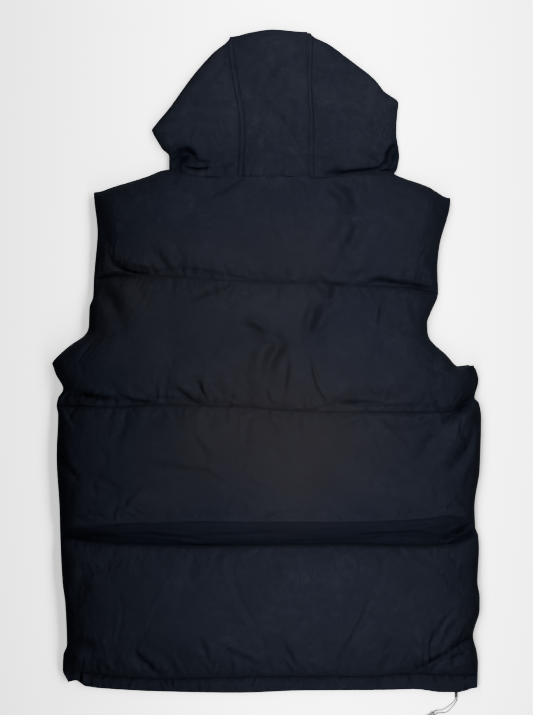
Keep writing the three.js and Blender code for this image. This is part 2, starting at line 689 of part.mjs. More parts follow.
function hoodSide(name, side) {
  const outline = side < 0 ? HOOD_LEFT : HOOD_RIGHT;
  const seam = side < 0 ? HOOD_SEAM_LEFT : HOOD_SEAM_RIGHT;
  const zipEdge = ZIP_X + side * ZIP_HALF_OPENING;
  const seamX = (y) => acrossAt(seam, y) + side * (SEAM_GAP / 2);
  const underSeamX = (y) => underSeam(seam, y) + side * (SEAM_GAP / 2);
  const neckPoint = outline[0];
  const outer = [];
  const inner = [];
  for (const v of hoodRows()) {
    const nearNeck = 1 - smooth(v / CHIN);
    const fold = { y: mix(neckPoint.y + SEAM_GAP / 2, outline.at(-1).y, v) };
    fold.x = acrossAt(outline, fold.y);
    const seamEnd = { y: mix(heightAt(TOP_EDGE, seam[0].x) + SEAM_GAP / 2, seam.at(-1).y, v) };
    seamEnd.x = seamX(seamEnd.y);
    const face = { y: mix(FRONT_NECK_Y, ZIP_TOP, v / CHIN), x: zipEdge };
    if (v > FOREHEAD) {
      face.y = mix(FOREHEAD_Y, seam.at(-1).y, (v - FOREHEAD) / (1 - FOREHEAD));
      face.x = underSeamX(face.y);
    } else if (v > CHIN) {
      const share = (v - CHIN) / (FOREHEAD - CHIN);
      face.y = mix(ZIP_TOP, FOREHEAD_Y, share);
      face.x = mix(zipEdge, underSeamX(FOREHEAD_Y), share);
    }
    const crownGap = (x, y) => Math.max(0, heightAt(HOOD_CROWN, x) - y);
    const foldWall = Math.min(HOOD_FOLD_WALL, 0.45 * Math.abs(seamEnd.x - fold.x));
    const backDepth = (w) => HOOD_HALF_HOLLOW * Math.min(1, 4 * w);
    const round = (distance) => rise(distance / HOOD_SEAM_ROUND);
    const upper = [];
    for (const w of clustered(HOOD_TOP_STATIONS, 0.4)) {
      const x = mix(fold.x, seamEnd.x, w);
      const share = (x - neckPoint.x) / (seam[0].x - neckPoint.x);
      const straight = mix(neckPoint.y, heightAt(TOP_EDGE, seam[0].x), share);
      const y = mix(fold.y, seamEnd.y, w) + nearNeck * (heightAt(TOP_EDGE, x) - straight);
      const fromFold = Math.min(Math.abs(x - fold.x), crownGap(x, y) + CROWN_WALL);
      const fromSeams = round(Math.abs(x - seamEnd.x)) * round(y - heightAt(TOP_EDGE, x));
      const dip = foldDepth(HOOD_FOLDS, x, y) * fromSeams;
      const innerX = mix(fold.x - side * foldWall, seamEnd.x, w);
      upper.push({
        face: [x, y, EDGE_LAYER_HEIGHT + hoodUpper(fromFold, fromSeams) - dip],
        back: [innerX, y, EDGE_LAYER_HEIGHT + backDepth(w)],
      });
    }
    const lower = [];
    for (const w of clustered(HOOD_UNDER_STATIONS, 0.4).slice(1)) {
      const x = mix(fold.x, face.x, w);
      const share = (x - neckPoint.x) / (zipEdge - neckPoint.x);
      const straight = mix(neckPoint.y, FRONT_NECK_Y, share);
      const y = mix(fold.y, face.y, w) + nearNeck * (frontTop(x) - straight) + (SEAM_GAP / 2) * w;
      const fromFold = Math.min(Math.abs(x - fold.x), crownGap(x, y) + CROWN_WALL);
      const fromSeams = round(Math.abs(x - face.x)) * round(y - frontTop(x));
      const innerX = mix(fold.x - side * foldWall, face.x, w);
      lower.push({
        face: [x, y, EDGE_LAYER_HEIGHT - hoodLower(fromFold, fromSeams)],
        back: [innerX, y, EDGE_LAYER_HEIGHT - backDepth(w)],
      });
    }
    const section = [...upper.reverse(), ...lower];
    outer.push(section.map((station) => station.face));
    inner.push(section.map((station) => station.back));
  }
  return wall(name, outer, inner, SHELL);
}

function hoodCentre() {
  const outer = [];
  const inner = [];
  const leftAt = (y) => acrossAt(HOOD_SEAM_LEFT, y) + SEAM_GAP / 2;
  const rightAt = (y) => acrossAt(HOOD_SEAM_RIGHT, y) - SEAM_GAP / 2;
  const underLeftAt = (y) => underSeam(HOOD_SEAM_LEFT, y) + SEAM_GAP / 2;
  const underRightAt = (y) => underSeam(HOOD_SEAM_RIGHT, y) - SEAM_GAP / 2;
  const station = (u, w, endY, layer) => {
    const crownX = mix(HOOD_SEAM_LEFT.at(-1).x, HOOD_SEAM_RIGHT.at(-1).x, u);
    const foldY = heightAt(HOOD_CROWN, crownX);
    const edges = layer > 0 ? [leftAt, rightAt] : [underLeftAt, underRightAt];
    const place = (y) => mix(edges[0](y), edges[1](y), u);
    const end = endY(place(endY(crownX)));
    const y = mix(foldY, end, w);
    const innerY = mix(foldY - HOOD_FOLD_WALL, end, w);
    const x = place(y);
    const fromSides = rise(Math.min(x - edges[0](y), edges[1](y) - x) / HOOD_SEAM_ROUND);
    const fromSeams = fromSides * rise((y - end) / HOOD_SEAM_ROUND);
    const reach = layer > 0 ? hoodUpper(foldY - y, fromSeams) : hoodLower(foldY - y, fromSeams);
    return {
      face: [x, y, EDGE_LAYER_HEIGHT + layer * reach],
      back: [place(innerY), innerY, EDGE_LAYER_HEIGHT + layer * HOOD_HALF_HOLLOW * Math.min(1, 4 * w)],
    };
  };
  const columns = clustered(HOOD_CENTRE_COLUMNS, 0.5);
  const neck = (x) => heightAt(TOP_EDGE, x) + SEAM_GAP / 2;
  const forehead = () => FOREHEAD_Y;
  const upper = clustered(HOOD_CENTRE_TOP_ROWS, 0.5).reverse();
  const lower = clustered(HOOD_CENTRE_UNDER_ROWS, 0.5).slice(1);
  const rows = [
    ...upper.map((w) => columns.map((u) => station(u, w, neck, 1))),
    ...lower.map((w) => columns.map((u) => station(u, w, forehead, -1))),
  ];
  for (const row of rows) {
    outer.push(row.map((p) => p.face));
    inner.push(row.map((p) => p.back));
  }
  return wall("hood_centre", outer, inner, SHELL);
}

// Drawcord, lying on the same surface as the vest

function drawcord() {
  const lock = CORD_LOCK_CENTRE;
  const ahead = { x: Math.cos(CORD_LOCK_ANGLE), y: Math.sin(CORD_LOCK_ANGLE) };
  const lockZ = CORD_LOCK.thickness / 2 + LYING_GAP;
  const lying = CORD_DIAMETER / 2 + LYING_GAP;
  // A place near the lock: along its axis from its centre, and to its right
  const near = (along, across, height) => [
    lock.x + along * ahead.x + across * ahead.y,
    lock.y + along * ahead.y - across * ahead.x,
    height,
  ];
  const half = CORD_LOCK.length / 2;
  const apart = CORD_LOCK.boreSpacing / 2;
  const bore = (across, ...places) => places.map((along) => near(along, across, lockZ));
  const exitY = heightAt(HEM_EDGE, CORD_SLEEVE.x) - SEAM_GAP - CORD_SLEEVE.length;
  const exit = (shift, out) => [CORD_SLEEVE.x + shift, exitY - CORD_GAP - out, CORD_SLEEVE.z];
  const points = [
    exit(-1.2, 0),
    exit(-1.2, 2),
    [256.5, exitY - 6, 1.9],
    [250, exitY - 12, lying],
    [241.5, exitY - 17, 1.6],
    near(-half - 4, apart, lockZ - 0.7),
    ...bore(apart, -half - 1, -half / 2, half / 2, half + 1),
    near(half + 5, apart + 1.2, lockZ - 1),
    near(half + CORD_LOOP.reach * 0.75, CORD_LOOP.halfWidth, 1.7),
    near(half + CORD_LOOP.reach, 0, lying),
    near(half + CORD_LOOP.reach * 0.75, -CORD_LOOP.halfWidth, 1.7),
    near(half + 5, -apart - 1.2, lockZ - 1),
    ...bore(-apart, half + 1, half / 2, -half / 2, -half - 1),
    near(-half - 5, -apart - 0.8, lockZ - 1.2),
    [247, exitY - 20.5, lying],
    [255, exitY - 13, lying],
    [260, exitY - 6, 1.9],
    exit(1.2, 2),
    exit(1.2, 0),
  ];
  const path = new THREE.CatmullRomCurve3(points.map(([x, y, z]) => new THREE.Vector3(x, y, z)));
  const section = new THREE.Shape();
  section.absarc(0, 0, CORD_DIAMETER / 2, 0, 2 * Math.PI);
  const steps = Math.ceil(path.getLength() / (1.5 * CORD_DIAMETER));
  const tube = new THREE.ExtrudeGeometry(section, {
    steps,
    curveSegments: 4,
    bevelEnabled: false,
    extrudePath: path,
  });
  const sleeve = new THREE.CylinderGeometry(CORD_SLEEVE.radius, CORD_SLEEVE.radius, CORD_SLEEVE.length, 12);
  sleeve.translate(CORD_SLEEVE.x, exitY + CORD_SLEEVE.length / 2, CORD_SLEEVE.z);
  return [
    named("cord_sleeve", sleeve, TAPE),
    named("drawcord", geometryOf(solid(tube)), ELASTIC),
    cordLock(lock, lockZ),
  ];
}

// A barrel with rounded edges and two bores for the cord
function cordLock(place, z) {
  const corner = 2.4;
  const bevel = 1.2;
  const [halfWidth, halfThickness] = [CORD_LOCK.width / 2 - bevel, CORD_LOCK.thickness / 2 - bevel];
  const section = new THREE.Shape();
  const round = corner - bevel;
  section.absarc(halfWidth - round, halfThickness - round, round, 0, Math.PI / 2);
  section.absarc(round - halfWidth, halfThickness - round, round, Math.PI / 2, Math.PI);
  section.absarc(round - halfWidth, round - halfThickness, round, Math.PI, 1.5 * Math.PI);
  section.absarc(halfWidth - round, round - halfThickness, round, 1.5 * Math.PI, 2 * Math.PI);
  const body = new THREE.ExtrudeGeometry(section, {
    depth: CORD_LOCK.length - 2 * bevel,
    curveSegments: 3,
    bevelThickness: bevel,
    bevelSize: bevel,
    bevelSegments: 2,
  }).translate(0, 0, bevel - CORD_LOCK.length / 2);
  let lock = solid(body);
  for (const side of [-1, 1]) {
    const { boreRadius, boreSpacing, length } = CORD_LOCK;
    const bore = new THREE.CylinderGeometry(boreRadius, boreRadius, length + 2, 12);
    bore.rotateX(Math.PI / 2).translate((side * boreSpacing) / 2, 0, 0);
    lock = lock.subtract(solid(bore));
  }
  const mesh = named("cord_lock", geometryOf(lock), PLASTIC);
  mesh.geometry.rotateX(Math.PI / 2).rotateZ(CORD_LOCK_ANGLE - Math.PI / 2 + Math.PI);
  mesh.position.set(place.x, place.y, z);
  return mesh;
}

const vest = new THREE.Group();
vest.name = "hooded_puffer_vest";

const body = new THREE.Group();
body.add(backPanel(), frontPanel("front_left", -1), frontPanel("front_right", 1), ...hemBands());

const hood = new THREE.Group();
hood.add(hoodCentre(), hoodSide("hood_left", -1), hoodSide("hood_right", 1));

const closure = new THREE.Group();
closure.add(...zip());

const cord = new THREE.Group();
cord.add(...drawcord());

vest.add(body, hood, closure, cord);

export default vest;
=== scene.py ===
# %% [markdown]
# # A hooded puffer vest, lying flat on its front
# A puffer vest is two thin fabrics with filling between them, sewn together along a few lines. The
# filling swells the cloth between the lines, and the sewing gathers it, so the cloth puckers beside
# every seam. The frame gives the vest's solids at their real size. This script makes what shows of
# them: padded panels with seams, puckers and folds, a stitched hood and hem, a zip with real teeth,
# and the drawcord with its cord lock.

import math

import bmesh
import bpy
import numpy as np
from mathutils import Matrix, Vector
from mathutils.bvhtree import BVHTree


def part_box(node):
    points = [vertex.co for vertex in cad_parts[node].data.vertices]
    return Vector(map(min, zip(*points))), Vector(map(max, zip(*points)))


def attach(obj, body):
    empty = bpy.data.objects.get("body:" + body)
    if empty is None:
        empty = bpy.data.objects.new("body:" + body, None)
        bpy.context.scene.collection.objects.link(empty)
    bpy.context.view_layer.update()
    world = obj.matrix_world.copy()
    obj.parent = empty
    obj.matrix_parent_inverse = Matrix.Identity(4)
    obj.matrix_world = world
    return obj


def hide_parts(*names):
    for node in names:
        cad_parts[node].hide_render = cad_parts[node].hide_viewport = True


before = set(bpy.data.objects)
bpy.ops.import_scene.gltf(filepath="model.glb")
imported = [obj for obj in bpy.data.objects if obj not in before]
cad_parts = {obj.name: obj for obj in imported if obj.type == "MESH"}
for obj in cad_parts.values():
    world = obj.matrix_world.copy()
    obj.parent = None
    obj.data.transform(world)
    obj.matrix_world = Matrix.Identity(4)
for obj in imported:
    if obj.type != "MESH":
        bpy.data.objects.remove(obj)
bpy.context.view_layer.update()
scene = bpy.context.scene

# %% [markdown]
# ## Camera
# The photo looks straight down on the vest, so the camera does too. A long lens from high above
# keeps every part of the vest at one scale. Its lens is worked out so that one pixel of the photo
# covers its real width of cloth.

# %% Camera
PHOTO_WIDTH, PHOTO_HEIGHT = 533, 715
METRES_A_PIXEL = 0.00137
ORIGIN_PIXEL = (266.7, 361.4)  # where the frame's origin lies in the photo
CAMERA_HEIGHT = 3.4
OUTLINE_HEIGHT = 0.012  # the vest's outline lies this high above the floor

camera = bpy.data.objects.new("camera", bpy.data.cameras.new("camera"))
scene.collection.objects.link(camera)
scene.camera = camera
middle_x = (PHOTO_WIDTH / 2 - ORIGIN_PIXEL[0]) * METRES_A_PIXEL
middle_y = (ORIGIN_PIXEL[1] - PHOTO_HEIGHT / 2) * METRES_A_PIXEL
camera.location = (middle_x, middle_y, CAMERA_HEIGHT)
view_height = PHOTO_HEIGHT * METRES_A_PIXEL
camera.data.lens = camera.data.sensor_width * (CAMERA_HEIGHT - OUTLINE_HEIGHT) / view_height
print(f"lens {camera.data.lens:.0f} mm from {CAMERA_HEIGHT} m")

# %% [markdown]
# ## Materials
# Shader maths reads best as ordinary expressions. One small class wraps a socket, so that `a * b +
# 1` adds the Math nodes for it. Another adds any other node from its settings and its inputs.

# %% Node helpers
class Value:
    """A number socket. Python's operators on it add Math nodes."""

    def __init__(self, graph, socket):
        self.graph, self.socket = graph, socket

    def maths(self, operation, *others):
        return self.graph.node("Math", {"operation": operation}, dict(enumerate((self, *others))))

    def __add__(self, other):
        return self.maths("ADD", other)

    def __mul__(self, other):
        return self.maths("MULTIPLY", other)

    def __sub__(self, other):
        return self.maths("SUBTRACT", other)

    def __rsub__(self, other):
        return self.graph.node("Math", {"operation": "SUBTRACT"}, {0: other, 1: self})

    __radd__, __rmul__ = __add__, __mul__

    def sine(self):
        return self.maths("SINE")

    def size(self):
        return self.maths("ABSOLUTE")

    def clipped(self):
        """The value, held between 0 and 1."""
        return self.maths("MAXIMUM", 0.0).maths("MINIMUM", 1.0)


class Graph:
    """The nodes of one material."""

    def __init__(self, name):
        self.material = bpy.data.materials.new(name)
        self.material.use_nodes = True
        self.tree = self.material.node_tree
        self.tree.nodes.clear()

    def node(self, kind, settings=None, inputs=None, output=0):
        """Adds a node: its settings first, then its inputs. Returns one of its outputs."""
        made = self.tree.nodes.new("ShaderNode" + kind)
        for name, value in (settings or {}).items():
            setattr(made, name, value)
        for name, value in (inputs or {}).items():
            if isinstance(value, Value):
                self.tree.links.new(value.socket, made.inputs[name])
            else:
                made.inputs[name].default_value = value
        return Value(self, made.outputs[output])

    def colour_mix(self, factor, first, second):
        return self.node("Mix", {"data_type": "RGBA"}, {0: factor, 6: first, 7: second}, output=2)

    def noise(self, place, scale, detail=3.0):
        return self.node("TexNoise", None, {"Vector": place, "Scale": scale, "Detail": detail})

    def split(self, place):
        """The x and the y of a place."""
        x = self.node("SeparateXYZ", None, {0: place})
        return x, Value(self, x.socket.node.outputs[1])

    def bump(self, strength, distance, height):
        return self.node("Bump", None, {"Strength": strength, "Distance": distance, "Height": height})

    def finish(self, **inputs):
        """Closes the material with one Principled shader. Underscores in the names stand for spaces."""
        named = {name.replace("_", " "): value for name, value in inputs.items()}
        shader = self.node("BsdfPrincipled", None, named)
        closing = self.tree.nodes.new("ShaderNodeOutputMaterial")
        self.tree.links.new(shader.socket, closing.inputs["Surface"])
        return self.material


# %% [markdown]
# ## The shell's fabric
# The shell is a thin plain-woven nylon, nearly black with a cool cast and almost matte. Close to,
# the weave shows, and a fine grain and crinkle that never iron out. Their heights go through one
# Bump node. From further off slow drifts of tone show: a little faded all over, and paler towards
# the hood. Light and shade are painted in as well: a painted pool of light makes the middle of the
# back lighter and warmer, and painted shade darkens the sunk strip and the tucks. The panels carry
# that painted shade as an attribute, and all of them only move the base colour.

# %% Shell fabric
THREAD = 0.0005  # metres from one thread of the weave to the next
COOL, WARM = (0.0021, 0.0025, 0.0040, 1), (0.0034, 0.0032, 0.0039, 1)
# The second of these tones is painted shade, for the sunk strip and the tucks.
FADED, PAINTED_SHADE_TONE = (0.0038, 0.0043, 0.0062, 1), (0.0007, 0.0010, 0.0019, 1)
MIDDLE_X, MIDDLE_Y = -0.035, -0.03  # the middle of the painted pool of light on the back
LIGHT_POOL_ACROSS, LIGHT_POOL_ALONG = 4.8, 4.6  # one over how far from there that reaches, in metres


def plain_weave(graph, place, pitch):
    """Threads that pass over and under each other, as heights from 0 to 1."""
    x, y = graph.split(place)
    turn = math.pi / pitch
    warp, weft = (x * turn).sine(), (y * turn).sine()
    over = (warp * weft * 4 + 0.5).clipped()
    return warp.size() * over + weft.size() * (1 - over)


def shell_fabric():
    graph = Graph("shell fabric")
    place = graph.node("TexCoord", output=3)
    drift = graph.noise(place, 4.2, 2.0)
    patches = graph.noise(place, 19.0, 4.0)
    crinkle = graph.noise(place, 120.0, 5.0)
    creases = (graph.noise(place, 31.0, 3.0) - 0.5).size()
    mottle = graph.noise(place, 95.0, 2.0)
    fuzz = graph.noise(place, 900.0, 2.0)
    weave = plain_weave(graph, place, THREAD)
    grain = graph.noise(place, 380.0, 2.0)
    x, y = graph.split(place)
    across, along = (x - MIDDLE_X) * LIGHT_POOL_ACROSS, (y - MIDDLE_Y) * LIGHT_POOL_ALONG
    # A painted pool of light: the middle of the back is painted lighter and warmer.
    light_pool = 1 - (across * across + along * along)
    warmer_and_lit = graph.colour_mix((drift - 0.47) * 2.6 + light_pool * 0.75, COOL, WARM)
    hood = ((along - 1.25) * 1.8).clipped()
    worn = (patches - 0.46) * 1.1 + (mottle - 0.5) * 1.1 + (grain - 0.5) * 1.6 + (fuzz - 0.5) * 0.8
    worn_and_lit = graph.colour_mix(worn + hood * 0.32, warmer_and_lit, FADED)
    # Painted shade: an attribute darkens the sunk strip and the tucks.
    painted_shade = graph.node("Attribute", {"attribute_name": "painted_shade"}, output=2)
    tone_and_painted_light = graph.colour_mix(painted_shade * 0.55, worn_and_lit, PAINTED_SHADE_TONE)
    height = crinkle * 0.9 + creases * 3.0 + grain * 0.35 + weave * 0.10 + fuzz * 0.06
    return graph.finish(
        Base_Color=tone_and_painted_light,
        Roughness=(patches - 0.5) * 0.12 + 0.52,
        IOR=1.012,
        Specular_Tint=(0.80, 0.86, 1.0, 1),
        Sheen_Weight=0.002,
        Sheen_Roughness=0.45,
        Sheen_Tint=(0.75, 0.82, 1.0, 1),
        Normal=graph.bump(0.7, 0.0012, height),
    )


shell = shell_fabric()
print("shell fabric:", len(shell.node_tree.nodes), "nodes")

# %% [markdown]
# ## The other finishes
# The zip's tape is a ribbed knitted ribbon. The teeth and the cord lock are moulded plastic with a
# faint grain, the slider and its pull are die-cast and painted, and the drawcord is a round braid
# over rubber.

# %% Tape, plastic, metal and thread
def tape_fabric():
    graph = Graph("zip tape")
    place = graph.node("TexCoord", output=3)
    x, y = graph.split(place)
    rib_across, rib_along = 0.0008, 0.0011
    ribs = (x * (math.pi / rib_across)).sine().size() * (y * (math.pi / rib_along)).sine().size()
    # The colour follows the ribs: lighter on their tops and darker in the grooves between them, as painted
    # shade.
    colour = graph.colour_mix(ribs, (0.004, 0.0045, 0.006, 1), (0.013, 0.014, 0.018, 1))
    normal = graph.bump(0.6, 0.0003, ribs)
    return graph.finish(Base_Color=colour, Roughness=0.85, Specular_IOR_Level=0.25, Normal=normal)


def moulded_plastic(name, dark, light, roughness):
    graph = Graph(name)
    place = graph.node("TexCoord", output=3)
    grain = graph.noise(place, 1600.0, 3.0)
    scuffs = graph.noise(place, 210.0, 6.0)
    return graph.finish(
        Base_Color=graph.colour_mix(scuffs, dark, light),
        Roughness=(scuffs - 0.5) * 0.3 + roughness,
        Normal=graph.bump(0.25, 0.0001, grain),
    )


def painted_metal():
    graph = Graph("painted metal")
    place = graph.node("TexCoord", output=3)
    wear = ((graph.noise(place, 330.0, 5.0) - 0.62) * 6).clipped()
    colour = graph.colour_mix(wear, (0.012, 0.0125, 0.014, 1), (0.16, 0.155, 0.15, 1))
    normal = graph.bump(0.15, 0.0001, wear)
    return graph.finish(Base_Color=colour, Roughness=0.34, Metallic=wear * 0.6 + 0.3, Normal=normal)


def braided_elastic():
    graph = Graph("braided elastic")
    place = graph.node("TexCoord", output=2)
    around, along = graph.split(place)
    one_way = ((around * 4 + along) * (2 * math.pi)).sine()
    other_way = ((around * 4 - along) * (2 * math.pi)).sine()
    braid = (one_way * other_way).size()
    # The colour follows the braid: lighter on the strands' crowns and darker between them, as painted shade.
    colour = graph.colour_mix(braid, (0.010, 0.0105, 0.012, 1), (0.075, 0.077, 0.084, 1))
    normal = graph.bump(0.8, 0.0003, braid)
    return graph.finish(Base_Color=colour, Roughness=0.75, Specular_IOR_Level=0.3, Normal=normal)


def sewing_thread():
    graph = Graph("sewing thread")
    place = graph.node("TexCoord", output=3)
    twist = graph.noise(place, 2500.0, 1.0)
    colour = graph.colour_mix(twist, (0.0010, 0.0012, 0.0016, 1), (0.0028, 0.0031, 0.0040, 1))
    return graph.finish(Base_Color=colour, Roughness=0.6, Specular_IOR_Level=0.03)


tape = tape_fabric()
teeth_tones = (0.004, 0.004, 0.005, 1), (0.011, 0.011, 0.013, 1)
lock_tones = (0.007, 0.007, 0.009, 1), (0.018, 0.019, 0.022, 1)
teeth_plastic = moulded_plastic("teeth plastic", *teeth_tones, 0.35)
lock_plastic = moulded_plastic("cord lock plastic", *lock_tones, 0.42)
metal = painted_metal()
elastic = braided_elastic()
thread = sewing_thread()
print("materials:", sorted(m.name for m in bpy.data.materials))

# %% [markdown]
# ## Meshes from rows of points
# Cloth, cord and thread are all swept forms, so a few helpers turn rows of points into meshes. A
# padded panel is a closed wall: a grid of points for the side that shows, another for its back, and
# strips that join their edges. The helper checks the volume and turns the faces round if it comes
# out negative, so normals always point outwards.

# %% Grid helpers
def pick(*pieces):
    """Selects some pieces and nothing else, and makes the first one active."""
    bpy.ops.object.select_all(action="DESELECT")
    for piece in pieces:
        piece.select_set(True)
    bpy.context.view_layer.objects.active = pieces[0] if pieces else None


def link(name, points, faces, material, smooth_angle=None):
    """A mesh object at the origin, with its place in its points."""
    mesh = bpy.data.meshes.new(name)
    mesh.from_pydata([], [], [])
    mesh.vertices.add(len(points))
    mesh.vertices.foreach_set("co", np.asarray(points, np.float32).ravel())
    faces = np.asarray(faces, np.int32)
    sides = faces.shape[1]
    mesh.loops.add(faces.size)
    mesh.loops.foreach_set("vertex_index", faces.ravel())
    mesh.polygons.add(len(faces))
    mesh.polygons.foreach_set("loop_start", np.arange(len(faces), dtype=np.int32) * sides)
    mesh.update(calc_edges=True)
    mesh.validate()
    mesh.materials.append(material)
    mesh.polygons.foreach_set("use_smooth", np.ones(len(mesh.polygons), bool))
    piece = bpy.data.objects.new(name, mesh)
    scene.collection.objects.link(piece)
    if smooth_angle:
        pick(piece)
        bpy.ops.object.shade_smooth_by_angle(angle=math.radians(smooth_angle))
    return piece


def grid_faces(index):
    """The quads of a grid of point numbers."""
    corners = [index[:-1, :-1], index[:-1, 1:], index[1:, 1:], index[1:, :-1]]
    return np.stack(corners, -1).reshape(-1, 4)


def outwards(points, faces):
    """The faces, turned round if they enclose a negative volume."""
    a, b, c, d = (points[faces[:, k]] for k in range(4))
    volume = (a * (np.cross(b, c) + np.cross(c, d))).sum()
    return faces if volume > 0 else faces[:, ::-1]


def padded_wall(name, outer, inner, material):
    """A closed wall between two grids of points with the same rows and columns."""
    rows, columns = outer.shape[:2]
    points = np.concatenate([outer.reshape(-1, 3), inner.reshape(-1, 3)])
    front = np.arange(rows * columns).reshape(rows, columns)
    back = front + rows * columns
    strips = [grid_faces(front), grid_faces(back)[:, ::-1]]
    ends = ((front[0], back[0]), (back[-1], front[-1]))
    sides = ((back[:, 0], front[:, 0]), (front[:, -1], back[:, -1]))
    for top, bottom in ends + sides:
        strips.append(np.stack([bottom[:-1], bottom[1:], top[1:], top[:-1]], -1))
    faces = outwards(points, np.concatenate(strips))
    return link(name, points, faces, material, smooth_angle=60)


def mark_painted_shade(piece, painted_shade):
    """Stores how much painted shade each point of a wall's face gets, from 0 to 1, for its base colour."""
    values = np.zeros(len(piece.data.vertices), np.float32)
    values[: painted_shade.size] = painted_shade.ravel()
    piece.data.attributes.new("painted_shade", "FLOAT", "POINT").data.foreach_set("value", values)


# %% [markdown]
# ## The drawcord
# The cord is a thin elastic that leaves the hem's right end through a short sleeve, runs through
# one bore of the cord lock, turns back in a loop, and returns through the other. It is a closed
# tube along a smooth curve through the same points as the solid it stands for, with its own UV map,
# so that the braid follows it.

# %% Cord route
CORD_DIAMETER = 0.0018
CORD_SLEEVE_X, CORD_SLEEVE_LENGTH, CORD_SLEEVE_Z, CORD_SLEEVE_RADIUS = 0.260, 0.007, 0.0028, 0.0024
LYING = CORD_DIAMETER / 2 + 0.00025
LOCK_CENTRE = (0.2225, -0.4885)
LOCK_ANGLE = math.radians(215)  # the way the lock's loop end points
LOCK_LENGTH, LOCK_WIDTH, LOCK_THICKNESS, BORE_APART = 0.018, 0.010, 0.007, 0.002
LOCK_Z = LOCK_THICKNESS / 2 + 0.00025
LOOP_REACH, LOOP_HALF_WIDTH = 0.014, 0.0044
SLEEVE_END_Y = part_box("cord_sleeve")[0].y


def near_lock(along, across, height):
    """A place along the lock's axis from its centre, and to the right of it."""
    ahead_x, ahead_y = math.cos(LOCK_ANGLE), math.sin(LOCK_ANGLE)
    x = LOCK_CENTRE[0] + along * ahead_x + across * ahead_y
    y = LOCK_CENTRE[1] + along * ahead_y - across * ahead_x
    return (x, y, height)


def cord_route():
    half, out = LOCK_LENGTH / 2, SLEEVE_END_Y
    left, right = CORD_SLEEVE_X - 0.0012, CORD_SLEEVE_X + 0.0012
    return [
        (left, out - 0.0004, CORD_SLEEVE_Z),
        (left, out - 0.0024, CORD_SLEEVE_Z),
        (0.2565, out - 0.006, 0.0019),
        (0.250, out - 0.012, LYING),
        (0.2415, out - 0.017, 0.0016),
        near_lock(-half - 0.004, BORE_APART, LOCK_Z - 0.0007),
        near_lock(-half - 0.001, BORE_APART, LOCK_Z),
        near_lock(-half / 2, BORE_APART, LOCK_Z),
        near_lock(half / 2, BORE_APART, LOCK_Z),
        near_lock(half + 0.001, BORE_APART, LOCK_Z),
        near_lock(half + 0.005, BORE_APART + 0.0012, LOCK_Z - 0.001),
        near_lock(half + LOOP_REACH * 0.75, LOOP_HALF_WIDTH, 0.0017),
        near_lock(half + LOOP_REACH, 0, LYING),
        near_lock(half + LOOP_REACH * 0.75, -LOOP_HALF_WIDTH, 0.0017),
        near_lock(half + 0.005, -BORE_APART - 0.0012, LOCK_Z - 0.001),
        near_lock(half + 0.001, -BORE_APART, LOCK_Z),
        near_lock(half / 2, -BORE_APART, LOCK_Z),
        near_lock(-half / 2, -BORE_APART, LOCK_Z),
        near_lock(-half - 0.001, -BORE_APART, LOCK_Z),
        near_lock(-half - 0.005, -BORE_APART - 0.0008, LOCK_Z - 0.0012),
        (0.247, out - 0.0205, LYING),
        (0.255, out - 0.013, LYING),
        (0.260, out - 0.006, 0.0019),
        (right, out - 0.0024, CORD_SLEEVE_Z),
        (right, out - 0.0004, CORD_SLEEVE_Z),
    ]


def through(points, steps):
    """A smooth curve through points, with the same number of steps between each two."""
    points = np.asarray(points, float)
    ends = np.concatenate([[2 * points[0] - points[1]], points, [2 * points[-1] - points[-2]]])
    curve_points = []
    for a, b, c, d in zip(ends, ends[1:], ends[2:], ends[3:]):
        for t in np.arange(steps) / steps:
            bend = 2 * b + (c - a) * t + (2 * a - 5 * b + 4 * c - d) * t**2 + (3 * b - a - 3 * c + d) * t**3
            curve_points.append(0.5 * bend)
    return np.array([*curve_points, points[-1]])


# %% A tube along a route
def tube(name, route, radius, material, sides=12):
    """A closed round tube. Its UV map runs once round it, and along it in turns of its own width."""
    ahead = np.gradient(route, axis=0)
    ahead /= np.linalg.norm(ahead, axis=1)[:, None]
    aside = np.cross(ahead, (0, 0, 1.0))
    aside /= np.linalg.norm(aside, axis=1)[:, None]
    above = np.cross(aside, ahead)
    angle = np.linspace(0, 2 * math.pi, sides, endpoint=False)[None, :, None]
    ring = np.cos(angle) * aside[:, None] + np.sin(angle) * above[:, None]
    points = (route[:, None] + radius * ring).reshape(-1, 3)
    index = np.arange(len(route) * sides).reshape(-1, sides)
    faces = grid_faces(np.concatenate([index, index[:, :1]], 1))
    points = np.concatenate([points, route[:1], route[-1:]])
    first, last = len(points) - 2, len(points) - 1
    caps = [(first, index[0, (k + 1) % sides], index[0, k], first) for k in range(sides)]
    caps += [(last, index[-1, k], index[-1, (k + 1) % sides], last) for k in range(sides)]
    mesh = bpy.data.meshes.new(name)
    quads = outwards(points, faces)
    flipped = not np.array_equal(quads, faces)
    triangles = [c[:3][::-1] if flipped else c[:3] for c in caps]
    mesh.from_pydata(points.tolist(), [], quads.tolist() + triangles)
    mesh.materials.append(material)
    mesh.polygons.foreach_set("use_smooth", np.ones(len(mesh.polygons), bool))
    length = np.concatenate([[0], np.cumsum(np.linalg.norm(np.diff(route, axis=0), axis=1))])
    uv = mesh.uv_layers.new(name="along")
    for polygon in mesh.polygons:
        corners = [mesh.loops[k].vertex_index for k in polygon.loop_indices]
        rounds = [(v % sides) / sides if v < first else 0.5 for v in corners]
        wraps = max(rounds) - min(rounds) > 0.5
        for k, v, turn in zip(polygon.loop_indices, corners, rounds):
            around = turn + 1 if wraps and turn < 0.5 else turn
            step = min(v // sides, len(route) - 1)
            uv.data[k].uv = (around, length[step] / (2 * math.pi * radius))
    piece = bpy.data.objects.new(name, mesh)
    scene.collection.objects.link(piece)
    return piece, length[-1]


